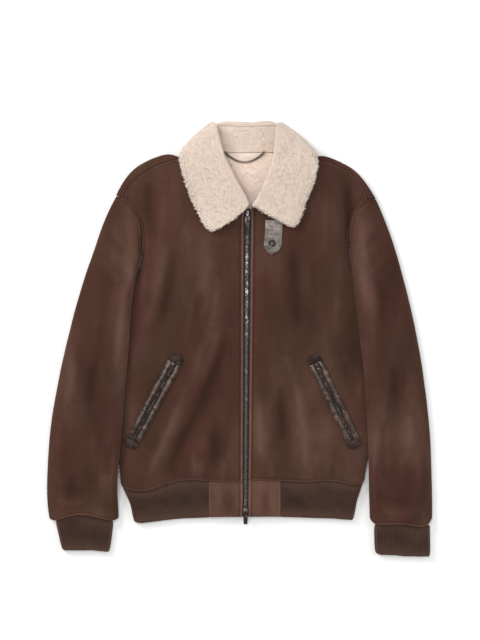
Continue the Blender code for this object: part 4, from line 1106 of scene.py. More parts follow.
# ---- the garment's cloth ----
@dataclass
class Shell:
    """The body and sleeves."""

    finishes: Finishes
    pieces: dict[str, Piece] = field(default_factory=dict)

    BACK_CREASES = creases(
        (-150, 60, -120, 10, -140, -70, 15, -1.2),
        (120, 90, 150, 20, 130, -60, 14, -1.0),
    )
    FRONT_CREASES = {
        Side.RIGHT: creases(
            (-163, 285, -168, 235, -160, 178, 9, -1.6), (-134, 262, -140, 190, -158, 112, 9, 1.2),
            (-119, 162, -126, 95, -141, 20, 9, -1.3), (-38, 112, -44, 60, -50, 20, 8, 1.6),
            (-50, 32, -72, -40, -108, -112, 9, 1.5), (-92, -80, -128, -152, -168, -255, 9, 1.6),
            (-21, 12, -40, -52, -70, -122, 8, -1.6), (-66, -112, -98, -176, -136, -250, 9, -1.4),
            (-72, 88, -74, 60, -80, 28, 7, -1.1), (-48, -158, -44, -190, -49, -230, 7, -1.2),
            (-96, 205, -84, 160, -92, 110, 8, 0.8), (-185, 150, -172, 110, -178, 60, 8, 1.1),
            (-212, 40, -204, -10, -208, -60, 9, -1.0), (-30, -190, -33, -225, -28, -255, 6, 0.9),
            (-86, -205, -80, -228, -84, -252, 6, 1.0), (-120, -232, -116, -246, -119, -262, 5, -1.0),
        ),
        Side.LEFT: creases(
            (97, 162, 101, 112, 103, 80, 8, -1.4), (103, 88, 106, 50, 109, 18, 8, -1.3),
            (133, 142, 138, 108, 139, 72, 7, -1.2), (75, -84, 76, -130, 82, -185, 8, -1.5),
            (35, -126, 38, -168, 37, -212, 6, 1.3), (86, -30, 108, -90, 118, -160, 9, 1.5),
            (118, -150, 124, -195, 120, -240, 8, 1.2), (122, -95, 140, -130, 151, -174, 8, -1.3),
            (188, -42, 192, -78, 205, -110, 8, -1.4), (196, 290, 205, 240, 199, 180, 7, -1.5),
            (160, 250, 150, 200, 162, 150, 9, 1.0), (60, 150, 54, 110, 62, 60, 8, 0.9),
            (178, 90, 172, 50, 180, 5, 9, 1.1), (222, -60, 216, -110, 222, -160, 9, 1.0),
            (60, -200, 56, -228, 60, -252, 6, 0.9), (168, -228, 172, -242, 168, -256, 5, -0.9),
        ),
    }
    SLEEVE_CREASES = {
        Side.RIGHT: creases(
            (-227, 130, -250, 50, -256, -34, 10, -1.9), (-254, -20, -268, -70, -273, -122, 10, -1.6),
            (-239, -190, -233, -222, -240, -250, 9, -1.6), (-300, -240, -310, -272, -304, -300, 9, -1.5),
            (-208, 100, -216, 20, -226, -80, 9, 1.4), (-292, 30, -302, -40, -312, -120, 9, 1.0),
            (-262, -150, -270, -200, -262, -262, 8, 1.1), (-330, -150, -326, -210, -332, -270, 8, 0.9),
            (-240, 195, -228, 170, -214, 150, 9, -1.1), (-250, 150, -236, 120, -216, 104, 8, 0.9),
            (-322, -268, -300, -282, -270, -278, 8, -1.1), (-335, -292, -310, -302, -280, -296, 7, 1.0),
        ),
        Side.LEFT: creases(
            (223, 222, 232, 140, 225, 44, 9, 1.8), (255, 110, 262, 60, 261, 16, 9, -1.8),
            (279, -48, 284, -80, 279, -112, 8, -1.4), (306, -140, 316, -172, 308, -200, 9, 1.3),
            (246, 30, 240, -40, 250, -110, 9, 1.0), (300, 60, 312, 0, 318, -70, 10, -1.0),
            (262, -150, 256, -200, 264, -255, 8, -1.2), (330, -190, 322, -240, 332, -290, 8, 1.0),
            (256, 200, 240, 175, 222, 160, 8, -1.1), (268, 160, 252, 130, 232, 112, 8, 0.9),
            (250, -285, 280, -300, 312, -292, 8, -1.2), (256, -310, 288, -322, 330, -312, 7, 1.0),
            (292, -210, 298, -240, 290, -270, 7, 0.9),
        ),
    }

    # Bands of painted light (above 0) and painted shade along the folds, mixed with the nap's own two tones, as
    # wide and as long as shown.
    FRONT_SHADES = {
        Side.RIGHT: creases(
            (-168, 306, -160, 250, -174, 180, 11, -1.3), (-184, 178, -182, 140, -188, 96, 6, -1.5),
            (-136, 196, -140, 80, -194, -42, 8, 1.1), (-114, 190, -118, 90, -166, 0, 9, -1.1),
            (-70, 96, -76, 40, -84, -10, 8, -0.8), (-34, 92, -36, -30, -114, -148, 8, 1.2),
            (-92, -100, -124, -160, -160, -262, 9, 1.3), (-18, 10, -44, -80, -112, -212, 12, -1.7),
            (-66, -4, -100, -90, -170, -190, 8, 0.7), (-40, -140, -38, -200, -46, -246, 10, -1.3),
            (-76, -214, -78, -236, -74, -258, 8, 0.9), (-100, -150, -112, -200, -132, -258, 10, -1.1),
            (-60, 220, -52, 150, -58, 60, 16, 0.5), (-206, -70, -198, -150, -196, -250, 10, 0.8),
        ),
        Side.LEFT: creases(
            (98, 196, 100, 110, 106, 6, 11, -1.7), (76, -92, 74, -150, 80, -206, 11, -1.2),
            (176, 20, 190, -40, 196, -100, 18, -1.0), (36, -90, 34, -160, 40, -238, 9, 1.3),
            (98, -90, 106, -170, 114, -250, 12, 0.8), (150, -110, 158, -170, 150, -246, 14, 0.7),
            (192, 312, 196, 240, 203, 140, 9, -1.9), (146, 290, 158, 210, 150, 120, 16, 0.6),
            (58, 20, 56, -40, 60, -96, 14, 0.5), (126, 100, 132, 50, 134, -10, 10, -0.6),
            (200, 120, 196, 30, 212, -90, 8, -0.7),
        ),
    }
    SLEEVE_SHADES = {
        Side.RIGHT: creases(
            (-196, 244, -206, 40, -226, -190, 9, 1.0), (-236, 160, -262, -20, -272, -226, 20, -1.1),
            (-300, -240, -286, -276, -270, -312, 24, -1.0), (-290, 60, -316, -80, -330, -230, 14, 0.8),
            (-222, -200, -236, -250, -250, -300, 14, 0.7),
        ),
        Side.LEFT: creases(
            (218, 236, 232, 110, 244, -20, 11, 1.4), (262, 150, 276, 0, 272, -136, 18, -1.1),
            (274, -40, 280, -100, 270, -170, 13, -0.8), (300, -60, 312, -140, 314, -240, 16, 0.8),
            (276, -220, 292, -260, 310, -316, 20, -0.9), (244, -120, 250, -200, 256, -280, 12, 0.5),
        ),
    }
    END_SHADES = {
        Side.RIGHT: creases((-50, -254, -47, -292, -50, -330, 9, 1.2),
                            (-22, -254, -18, -290, -24, -330, 9, -0.9)),
        Side.LEFT: creases((68, -252, 66, -290, 68, -330, 8, 1.4), (28, -252, 34, -290, 30, -330, 9, 0.6),
                           (48, -260, 50, -290, 46, -326, 7, -0.9)),
    }

    def build(self) -> None:
        """Makes every panel."""
        f = self.finishes
        self.pieces["back"] = Back("back", (560, 640), 305000, (), swell=0.4, seed=3.0,
                                   creases=self.BACK_CREASES).make(f)
        for side in Side:
            hole, hem, shoulder, wrist = (tuple(rounded(line[side]))
                                          for line in (ARMHOLE, HEM_SEAM, SHOULDER_SEAM, CUFF_SEAM))
            zip_edge = Seam(tuple(ZIP_EDGE[side]), 2.4, 6.2, 0.6, 0.9, 0.95)
            front, sleeve, end = (f"{part}_{side.value}" for part in ("front", "sleeve", "hem_end"))
            self.pieces[front] = ShearlingPanel(
                front, (262, 600), 128000, ("back_shearling",), seed=7.0 + side.sign,
                creases=self.FRONT_CREASES[side], shades=self.FRONT_SHADES[side],
                seams=(zip_edge, Seam(hem), Seam(hole, 1.6, 4.6, 0.3, 0.8, 0.35),
                       Seam(shoulder, 1.4, 4.0, 0.3, 0.6, 0.4))).make(f)
            self.pieces[sleeve] = Sleeve(
                sleeve, (272, 612), 136000, (f"{front}_shearling", "back_shearling"), swell=0.5,
                seed=17.0 + side.sign, creases=self.SLEEVE_CREASES[side], shades=self.SLEEVE_SHADES[side],
                seams=(Seam(wrist), Seam(hole, 1.6, 4.6, 0.3, 0.7, 0.35))).make(f)
            self.pieces[end] = HemEnd(
                end, (61, 68), 4100, ("hem_rib_knit",), swell=0.3, seed=27.0 + side.sign,
                seams=(zip_edge, Seam(HEM_END_EDGE[side], 1.2, 3.6, 0.3, 0.4, 0.5)),
                shades=self.END_SHADES[side], light=1.5).make(f)


@dataclass
class Ribbing:
    """A ribbed band, doubled at its edge."""

    node: str
    cut: tuple[float, float]
    seed: float

    RAISE = 2.1  # how much higher its ribs stand than its solid's
    MOST = 0.6  # of what a rib stands out before it is raised
    BROAD, FINE = 26, 18  # sizes of its sway up and sideways
    FLOOR = -0.2  # nothing goes lower

    def make(self, finishes: Finishes) -> None:
        piece = Bench.refined(self.node, f"{self.node}_knit", 2, 0.3, 60)
        points, normals = Bench.shape(piece)
        points += self.RAISE * np.clip(stands_out(piece, 10), -self.MOST, self.MOST)[:, None] * normals
        points[:, 2] += 0.5 * ripple(points, self.BROAD, self.seed) * upward(normals, 1)
        points[:, 0] += 0.5 * ripple(points, self.FINE, self.seed + 3) * upward(normals)
        points[:, 2] = np.maximum(points[:, 2], self.FLOOR)
        Bench.set_points(piece, points)
        read_folds(piece, 3, 12, 1.3)
        Bench.smooth(piece)
        Bench.dress(piece, Slot.RIB, finishes.rib, nodes=(self.node,))
        self.cut[0] * MM
        self.cut[1] * MM


@dataclass
class Collar:
    """The fleece collar, open and turned down over the shoulders, its stand and the neck's lining."""

    finishes: Finishes
    rim: np.ndarray | None = None  # how much each point of the fall belongs to the free edge's upper rim

    MIDDLE = 15  # the x of the neck's middle
    FRONT = 336  # the collar's free edge and the neck's opening lie below this y
    PILE = 0.6  # how thick the pile is over the solid
    FULL = 3.0  # how far the pile fills out the free edge's rounding
    ROUND = 0.1  # the least upward normal that still counts as the rounding
    RIM, RIM_RUN = 0.99, 0.06  # the upward normal where the upper rim begins, and over what run
    COMB_FROM, COMB_DOWN = (15, 250, 20), 60  # the wool lies away from this point, and this much down
    TUFTS_FROM = (15, 300, 20)
    LIP = 2.2  # how far the suede side shows past the fleece at the free edge, made darkest as a painted shadow line
    TUCK_FROM, TUCK_RUN, TUCK = 368.0, 14, 9.0  # where and how far the stand's top goes in under the roll
    WIDEN_FROM, WIDEN_RUN, WIDEN = 345, 30, 9  # where and how far the stand's ends go out under the roll
    ENDS_FROM, ENDS_RUN = 38, 12  # how far from the middle its ends begin
    RISE = ((350, 362, 374, 383, 387, 391), (0, 0.8, 2.4, 3.5, 2.6, -1.0))  # the stand's lift at each y
    NECK = (16, 200)  # the lower end of the neck's opening
    NECK_HALF, NECK_FLARE = 22, 0.62  # half of its width there, and how it widens upwards

    def fall(self) -> Piece:
        """The part that is turned down: fleece on top, suede beneath."""
        piece = Bench.refined("collar_fall", "collar_fall_shearling", 3, 0.35)
        points, normals = Bench.shape(piece)
        up = normals[:, 2]
        free = self.free_edge(points, normals)
        rounding = (up > self.ROUND) * free
        self.rim = np.clip((self.RIM - up) / self.RIM_RUN, 0, 1) * rounding
        points[:, 2] += self.FULL * np.clip(1 - up, 0, 1) * rounding
        lumps = 1.1 * ripple(points, 30, 2) + 0.2 * ripple(points, 10, 6)
        points += normals * (self.PILE + lumps)[:, None] * np.clip(up * 1.5 + 0.8, 0, 1)[:, None]
        lip = (up < 0) & (up > -0.95) & free
        points[:, :2] += self.LIP * normals[:, :2] * lip[:, None]
        Bench.set_points(piece, points)
        # raised lumps get painted light, hollows painted shade
        Bench.write(piece, "tip", np.clip(0.45 + 0.35 * lumps, 0, 1))
        # the suede here takes the darkest value: a painted shadow under the collar's free edge
        Bench.write(piece, "nap", np.full(len(points), -ShearlingPanel.NAP_AND_SHADE_LIMIT))
        Bench.smooth(piece)
        Bench.dress(piece, Slot.FLEECE, self.finishes.fleece, self.finishes.suede, nodes=("collar_fall",))
        middles = np.array([f.center for f in piece.data.polygons]) / MM
        facing = np.array([f.normal for f in piece.data.polygons])
        under = facing[:, 2] < np.where(self.free_edge(middles, facing), -0.02, -0.6)
        Bench.second(piece, under)
        return piece

    def stand(self) -> Piece:
        """The shorn band behind the neck."""
        piece = Bench.refined("collar_stand", "collar_stand_shearling", 4)
        points, normals = Bench.shape(piece)
        points[:, 1] += self.TUCK * np.clip((points[:, 1] - self.TUCK_FROM) / self.TUCK_RUN, 0, 1)
        aside = points[:, 0] - self.MIDDLE
        high = np.clip((points[:, 1] - self.WIDEN_FROM) / self.WIDEN_RUN, 0, 1)
        ends = np.clip((np.abs(aside) - self.ENDS_FROM) / self.ENDS_RUN, 0, 1)
        points[:, 0] += self.WIDEN * np.sign(aside) * high * ends
        points[:, 2] += np.interp(points[:, 1], *self.RISE) * (normals[:, 2] > 0)
        lumps = 0.5 * ripple(points, 12, 4) + 0.35 * ripple(points, 5, 8)
        points += normals * lumps[:, None] * np.clip(normals[:, 2:], 0, 1)
        Bench.set_points(piece, points)
        # raised lumps get painted light, hollows painted shade
        Bench.write(piece, "tip", np.clip(0.3 + 0.4 * lumps, 0, 1))
        Bench.smooth(piece)
        Bench.dress(piece, Slot.FLEECE, self.finishes.fleece, nodes=("collar_stand",))
        return piece

    def free_edge(self, points: np.ndarray, normals: np.ndarray) -> np.ndarray:
        """Where the fall's edge is its free one, which faces away from the neck."""
        away = (points[:, 0] - self.MIDDLE) * normals[:, 0] > 0
        return (points[:, 1] < self.FRONT) & (away | (normals[:, 1] < -0.25))

    def outward(self, root: np.ndarray) -> np.ndarray:
        """The way the wool lies on the fall: away from the neck and a little down."""
        way = root - self.COMB_FROM
        way[:, 1] -= self.COMB_DOWN
        return unit(way)

    def away(self, root: np.ndarray) -> np.ndarray:
        """The way that the tufts of the free edge point."""
        way = root - self.TUFTS_FROM
        way[:, 2] = 0
        return unit(way)

    def build(self, back: Piece) -> None:
        """Makes the collar, its wool, and the wool of the neck's lining."""
        fleece, fall, stand = self.finishes.fleece, self.fall(), self.stand()
        for side in Side:
            def on_side(middle: np.ndarray, normal: np.ndarray, sign: int = side.sign) -> np.ndarray:
                """The fall's top and edges on one side."""
                return ((middle[:, 0] - self.MIDDLE) * sign > 0) & (normal[:, 2] > -0.35)
            Locks(f"collar_wool_{side.value}", 8000, long=2.3, thick=0.6, lean=(1.5, 1.57),
                  seed=11 + side.sign).grow(fall, on_side, fleece, self.outward)

        def rim(middle: np.ndarray, normal: np.ndarray) -> np.ndarray:
            """The upper rim of the fall's free edge, where the pile is longest."""
            corners = np.array([t.vertices[:] for t in fall.data.loop_triangles])
            return (self.rim[corners].mean(axis=1) > 0.5) & (normal[:, 2] > 0.5)
        Locks("collar_tufts", 2600, long=5.8, thick=1.3, lean=(1.25, 1.5), seed=21, vary=(0.4, 1.4)).grow(
            fall, rim, self.finishes.tufts, self.away)
        Locks("collar_stand_wool", 1500, long=2.2, thick=0.7, lean=(1.46, 1.57), seed=31).grow(
            stand, lambda middle, normal: normal[:, 2] > -0.3, fleece)

        def neck(middle: np.ndarray, normal: np.ndarray) -> np.ndarray:
            """The back's fleece that shows between the collar's wings."""
            aside, y = np.abs(middle[:, 0] - self.NECK[0]), middle[:, 1]
            wide = aside < self.NECK_HALF + self.NECK_FLARE * (y - self.NECK[1])
            return (normal[:, 2] > 0.3) & (y > self.NECK[1]) & wide & (y < self.FRONT)
        Locks("neck_wool", 3600, long=2.4, thick=0.7, lean=(1.48, 1.57), seed=41).grow(
            back, neck, self.finishes.shorn)


# ---- zips ----
def zip_tape(node: str, name: str, finish: Finish, sink: float = 0.0) -> Piece:
    """A zip's tape, its upper side sunk by a depth."""
    tape = Bench.refined(node, name, 2, 0.9)
    points, normals = Bench.shape(tape)
    points[:, 2] -= sink * upward(normals)
    Bench.set_points(tape, points)
    Bench.smooth(tape, 40)
    return Bench.dress(tape, Slot.TAPE, finish, nodes=(node,))


@dataclass
class Teeth:
    """A zip's metal teeth along a line, from both tapes in turn."""

    name: str
    start: Plan
    end: Plan
    pitch: float
    reach: float
    high: float
    low: Height

    HALF = 0.40  # of a tooth's width, in pitches
    # a tooth's sections along its reach: place, width, height
    SECTIONS = ((-0.18, 0.72, 0.8), (0.25, 1.0, 1.0), (0.8, 1.0, 1.0), (1.0, 0.75, 0.72))

    def tooth(self) -> tuple[np.ndarray, Faces]:
        """One tooth that points along +x across the zip: points and faces."""
        half = self.HALF * self.pitch
        shape = ((-half, 0), (-half, 0.55), (-0.55 * half, 1), (0.55 * half, 1), (half, 0.55), (half, 0))
        points = [(share * self.reach, y * wide, z * tall * self.high)
                  for share, wide, tall in self.SECTIONS for y, z in shape]
        return np.array(points), ring_faces(len(self.SECTIONS), len(shape))

    def make(self, finish: Finish, *nodes: str) -> None:
        """Makes all the teeth as one piece."""
        shape, faces = self.tooth()
        points, all_faces = [], []
        for k, ((x, y), (dx, dy)) in enumerate(along([self.start, self.end], self.pitch / 2)):
            sign = 1 if k % 2 else -1
            ax, ay = -dy * sign, dx * sign
            base = len(points) * len(shape)
            points.append(np.stack([x + shape[:, 0] * ax + shape[:, 1] * dx,
                                    y + shape[:, 0] * ay + shape[:, 1] * dy,
                                    self.low(x, y) + shape[:, 2]], axis=1))
            all_faces += [tuple(base + i for i in f[::sign]) for f in faces]
        piece = Bench.mesh(self.name, np.concatenate(points), all_faces)
        Bench.smooth(piece, 50)
        Bench.dress(piece, Slot.METAL, finish, nodes=nodes)


@dataclass
class SliderParts:
    """A zip slider: a plate with a waist and a bridge over it, and the pull that hangs from the bridge."""

    slider: str
    pull: str
    body: Body
    finishes: Finishes

    SIDES, STEPS = 8, 12  # round the bridge and along it
    PLATE = 0.55  # the plate's top, as a share of the slider's height
    FLATTEN = 0.25  # what stays of the solid's bridge above that
    THICK = 0.17  # half of the bridge's thickness, as a share of the height
    BACK, RUN = 0.62, 1.45  # where the bridge begins behind the middle and how far it runs, in reaches
    EYE_PLACE, EYE_SIZE = 0.32, 0.40  # the pull's eye: its place along it and its radius over half its width

    @property
    def pivot(self) -> np.ndarray:
        """The pull's hinge."""
        return np.array(frame["bodies"][self.body.value].matrix_world.translation) / MM

    def plate(self) -> None:
        """The slider: its lower plate and its bridge."""
        low, high = (np.array(c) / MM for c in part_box(self.slider))
        middle = (low + high) / 2
        way = (self.pivot - middle)[:2]
        way /= np.linalg.norm(way)
        plate = Bench.refined(self.slider, f"{self.slider}_plate", 1, 0.8)
        points = Bench.points(plate)
        level = low[2] + self.PLATE * (high[2] - low[2])
        points[:, 2] = np.minimum(points[:, 2], level + self.FLATTEN * (points[:, 2] - level))
        Bench.set_points(plate, points)
        reach = float(np.dot(points[:, :2] - middle[:2], way).max())
        thick = self.THICK * (high[2] - low[2])
        rings = []
        for k in range(self.STEPS + 1):
            t = k / self.STEPS
            run = -self.BACK * reach + self.RUN * reach * t
            up = (level - 0.3 + (high[2] - thick - level + 0.3) * sin(pi * t) ** 0.55)
            wide = 1.9 * thick * (1.15 - 0.3 * sin(pi * t))
            for s in range(self.SIDES):
                a = 2 * pi * s / self.SIDES
                rings.append((middle[0] + way[0] * run - way[1] * wide * cos(a),
                              middle[1] + way[1] * run + way[0] * wide * cos(a), up + thick * sin(a)))
        bridge = Bench.mesh(f"{self.slider}_bridge", np.array(rings), ring_faces(self.STEPS + 1, self.SIDES))
        piece = Bench.joined(f"{self.slider}_metal", [plate, bridge])
        Bench.smooth(piece, 40)
        Bench.dress(piece, Slot.METAL, self.finishes.dark_metal, nodes=(self.slider,))

    def tag(self) -> None:
        """The pull, pierced near its upper end."""
        piece = Bench.copy_of(self.pull, f"{self.pull}_metal")
        points = Bench.points(piece)
        run = points.mean(axis=0) - self.pivot
        long = np.linalg.norm(run)
        run /= long
        wide = np.cross(run, (0, 0, 1))
        wide /= np.linalg.norm(wide)
        up = np.cross(wide, run)
        spread = np.abs((points - self.pivot) @ wide).max()
        spot = self.pivot + run * self.EYE_PLACE * long
        bpy.ops.mesh.primitive_cylinder_add(
            vertices=20, radius=self.EYE_SIZE * spread * MM, depth=9 * MM, location=Vector(spot * MM))
        cutter = bpy.context.object
        cutter.rotation_euler = Vector(up).to_track_quat("Z", "Y").to_euler()
        bevel = piece.modifiers.new("edges", "BEVEL")
        bevel.width, bevel.segments = 0.25 * MM, 2
        bevel.limit_method, bevel.angle_limit = "ANGLE", radians(35)
        hole = piece.modifiers.new("eye", "BOOLEAN")
        hole.operation, hole.object, hole.solver = "DIFFERENCE", cutter, "EXACT"
        Bench.only(piece)
        for name in ("edges", "eye"):
            bpy.ops.object.modifier_apply(modifier=name)
        bpy.data.objects.remove(cutter)
        Bench.smooth(piece, 35)
        Bench.dress(piece, Slot.METAL, self.finishes.dark_metal, nodes=(self.pull,), body=self.body)

    def make(self) -> None:
        """Makes both."""
        self.plate()
        self.tag()


@dataclass
class FrontZip:
    """The front zip: tapes, teeth, and a slider at each end."""

    finishes: Finishes

    TOP = (14.4, 234.0)
    BOTTOM = (10.9, -323.4)
    LEVEL = 11.6  # the tapes' height where a ray misses them

    def build(self) -> None:
        """Makes the zip."""
        f = self.finishes
        tape = zip_tape("zip_tape", "zip_tape_weave", f.tape)
        top = surface(tape)
        Teeth("zip_teeth", self.TOP, self.BOTTOM, pitch=3.3, reach=3.2, high=2.5,
              low=lambda x, y: (top(x, y) or self.LEVEL) + 0.25).make(f.teeth, "zip_chain")
        SliderParts("slider_top", "pull_top", Body.PULL_TOP, f).make()
        SliderParts("slider_bottom", "pull_bottom", Body.PULL_BOTTOM, f).make()


@dataclass
class LeatherTrim:
    """A strip of smooth leather: a pocket's welt or end cap, or the throat tab."""

    node: str
    finish: Finish
    slot: Slot
    across: Plan
    wrinkle: float
    seed: float
    cut: tuple[float, float]
    rests_on: tuple[str, ...]
    levels: int = 2
    edges: tuple[float, float] = (0.5, 48)  # how sharp its edges stay, and from what angle
    crown: float = 0.0  # how much its middle rises
    lean: Plan = (0.0, 0.0)  # how far its lower end is moved
    fade: float = 0.0  # how much darker its lower end is

    def make(self) -> Piece:
        """Makes the strip, crowned across its width, with fine wrinkles that run across it."""
        piece = Bench.refined(self.node, f"{self.node}_leather", self.levels, *self.edges)
        points, normals = Bench.shape(piece)
        ax, ay = self.across
        run = points[:, 0] * -ay + points[:, 1] * ax
        over = points[:, 0] * ax + points[:, 1] * ay
        half = np.ptp(over) / 2
        bulge = 1 - ((over - over.min() - half) / half) ** 2
        points[:, 2] += self.crown * bulge * upward(normals)
        low, high = points[:, 1].min(), points[:, 1].max()
        down = (high - points[:, 1]) / (high - low)
        points[:, :2] += np.outer(down ** 2, self.lean)
        bent = np.stack([run, over * 0.22, points[:, 2] * 0.2], axis=1)
        lumps = ripple(bent, 7, self.seed) + 0.7 * ripple(bent, 3.2, self.seed + 4)
        points += normals * (self.wrinkle * lumps)[:, None] * np.clip(normals[:, 2:] + 0.2, 0, 1)
        Bench.set_points(piece, points)
        # painted highlight on the strip's edges and raised wrinkles, painted shade in their hollows, partly
        # rubbed wear
        edge = np.clip(1.2 - normals[:, 2], 0, 1) ** 2
        Bench.write(piece, "fold", np.clip(0.55 * lumps + 0.9 * edge - self.fade * (down - 0.4), -1, 1))
        Bench.smooth(piece)
        Bench.dress(piece, self.slot, self.finish, nodes=(self.node,))
        self.cut[0] * MM
        self.cut[1] * MM
        return piece


@dataclass
class Pocket:
    """A slanted pocket: two welts, two caps, a zip with its slider and pull, and the stitches round it."""

    side: Side
    body: Body
    finishes: Finishes

    WELT = 10.0  # how wide a welt is
    HALF_ZIP = 2.7
    CAP = 15.0  # how long a cap is
    LEVEL = 20.5  # the tape's height where a ray misses it
    SINK = 0.9  # how far the tape is sunk between the welts
    WELT_CUT, CAP_CUT = (11, 163), (18, 26)
    END = 1.2  # the zip's teeth begin this far beyond the caps

    def build(self, stitches: Stitching) -> None:
        """Makes the pocket and adds its stitches."""
        f, name = self.finishes, f"pocket_{self.side.value}"
        (x0, y0), (x1, y1) = POCKET_LINE[self.side]
        long = hypot(x1 - x0, y1 - y0)
        dx, dy = (x1 - x0) / long, (y1 - y0) / long
        across = (-dy, dx)
        tops = {}
        for k, part in enumerate(("welt_inner", "welt_outer", "cap_top", "cap_bottom")):
            welt = k < 2
            tops[part] = surface(LeatherTrim(
                f"{name}_{part}", f.leather if welt else f.cap_leather, Slot.LEATHER, across, wrinkle=0.26,
                seed=3.0 + 5 * k + self.side.sign, cut=self.WELT_CUT if welt else self.CAP_CUT,
                rests_on=(f"front_{self.side.value}_shearling",), crown=1.2 if welt else 0.3).make())
        low = surface(zip_tape(f"{name}_zip", f"{name}_zip_tape", f.tape, self.SINK))
        ends = [(x0 + dx * s, y0 + dy * s) for s in (self.CAP + self.END, long - self.CAP - self.END)]
        Teeth(f"{name}_teeth", *ends, pitch=2.0, reach=1.75, high=1.05,
              low=lambda x, y: (low(x, y) or self.LEVEL) - 0.1).make(f.dark_metal)
        SliderParts(f"{name}_slider", f"{name}_pull", self.body, f).make()

        def row(part: str, *places: Plan) -> None:
            """Adds a row between two places, each given along the pocket and across it."""
            line = [(x0 + dx * run + across[0] * over, y0 + dy * run + across[1] * over)
                    for run, over in places]
            stitches.rows.append((line, tops[part]))

        half = self.HALF_ZIP + self.WELT
        for part in ("welt_inner", "welt_outer"):
            for over in (half - 1.6, self.HALF_ZIP + 2.0):
                for sign in (1, -1):
                    row(part, (self.CAP + 2, sign * over), (long - self.CAP - 2, sign * over))
        for part, base, sign in (("cap_top", 0, 1), ("cap_bottom", long, -1)):
            for run, wide in ((2.6, 0.62), (self.CAP - 2.2, 0.86)):
                row(part, (base + sign * run, -half * wide), (base + sign * run, half * wide))


@dataclass
class Throat:
    """The grey leather tab by the collar's left wing, with its press stud."""

    finishes: Finishes

    LEAN = (-3.5, -2.5)  # how far its point lies from its solid's, towards the zip and down
    ROOT, LONG = 213.2, 56  # where it comes out from under the collar, and its length from there
    OUTLINE = ((50.6, 213.2), (50.4, 194), (50.2, 183), (49.2, 172), (52.4, 163.4), (62.0, 159.2),
               (71.6, 163.4), (75.0, 172), (74.4, 183), (74.2, 194), (74.0, 213.2))  # its row of stitches
    STUD = (59.0, 173.2)
    RINGS = ((5.3, 1.5, 0.62, 0.85), (2.5, 0.85, 0.8, 0.7))  # radius, thickness, flatness, height

    def build(self, stitches: Stitching) -> None:
        """Makes the tab, its stitches and the stud."""
        f = self.finishes
        tab = LeatherTrim("throat_tab", f.grey, Slot.GREY_LEATHER, (1, 0), wrinkle=0.22, seed=51, cut=(31, 61),
                          rests_on=("front_left_shearling",), levels=3, edges=(0.92, 20), lean=self.LEAN,
                          fade=0.8)
        outline = []
        for x, y in self.OUTLINE:
            share = ((self.ROOT - y) / self.LONG) ** 2
            outline.append((x + share * self.LEAN[0], y + share * self.LEAN[1]))
        stitches.rows.append((outline, surface(tab.make())))
        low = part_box("throat_snap")[0][2] / MM
        parts = []
        for major, minor, squat, z in self.RINGS:
            bpy.ops.mesh.primitive_torus_add(major_segments=40, minor_segments=12, major_radius=major * MM,
                                             minor_radius=minor * MM, location=self.stud(low + z))
            ring = bpy.context.object
            ring.scale = (1, 1, squat)
            parts.append(Bench.settle(ring))
        bpy.ops.mesh.primitive_cylinder_add(
            vertices=40, radius=5.4 * MM, depth=0.7 * MM, location=self.stud(low + 0.4))
        parts.append(Bench.settle(bpy.context.object))
        stud = Bench.joined("throat_stud", parts)
        Bench.smooth(stud, 45)
        Bench.dress(stud, Slot.METAL, f.dark_metal, nodes=("throat_snap",))
        bpy.ops.mesh.primitive_uv_sphere_add(
            segments=20, ring_count=10, radius=1.9 * MM, location=self.stud(low + 0.75))
        post = bpy.context.object
        post.scale = (1, 1, 0.5)
        post.name = "throat_stud_post"
        Bench.smooth(Bench.settle(post))
        Bench.dress(post, Slot.METAL, f.metal)

    def stud(self, z: float) -> tuple[float, float, float]:
        """The stud's place at a height, in metres."""
        return self.STUD[0] * MM, self.STUD[1] * MM, z * MM


@dataclass
class HangerLoop:
    """A twisted braid sewn by both ends at the neck seam, with its pale strand showing most at its middle."""

    finishes: Finishes

    START = (-27.5, 340.0)
    END = (45.5, 340.0)
    HANG = 19.5  # how far its middle hangs below its ends
    LEVEL = 20.9  # the height of its line
    TWISTS = 11
    STRANDS = 3
    STEPS = 150
    SIDES = 8
    WIND = (1.35, 0.5)  # how far a strand winds to the side and up
    THICK = (0.95, 0.85)  # half of its width and height

    def strand(self, number: int) -> Piece:
        """One strand, wound round the loop's line."""
        points, pale = [], []
        wide = self.END[0] - self.START[0]
        for k in range(self.STEPS + 1):
            t = k / self.STEPS
            x = self.START[0] + wide * t
            y = self.START[1] - self.HANG * sin(pi * t) ** 0.8
            slope = -self.HANG * 0.8 * pi * cos(pi * t) * max(sin(pi * t), 0.05) ** -0.2
            run = Vector((wide, slope)).normalized()
            turn = 2 * pi * (self.TWISTS * t + number / self.STRANDS)
            side, up = self.WIND[0] * cos(turn), self.WIND[1] * sin(turn)
            for s in range(self.SIDES):
                a = 2 * pi * s / self.SIDES
                over = side + self.THICK[0] * cos(a)
                points.append((x - run[1] * over, y + run[0] * over, self.LEVEL + up + self.THICK[1] * sin(a)))
                pale.append(sin(pi * t) ** 6 if number == 0 else 0.12 * number)
        piece = Bench.mesh(f"strand_{number}", np.array(points), ring_faces(self.STEPS + 1, self.SIDES))
        Bench.write(piece, "pale", np.array(pale))
        return piece

    def build(self) -> None:
        """Twists the strands."""
        piece = Bench.joined("hanger_loop_braid", [self.strand(k) for k in range(self.STRANDS)])
        Bench.smooth(piece)
        Bench.dress(piece, Slot.BRAID, self.finishes.braid, nodes=("hanger_loop",))


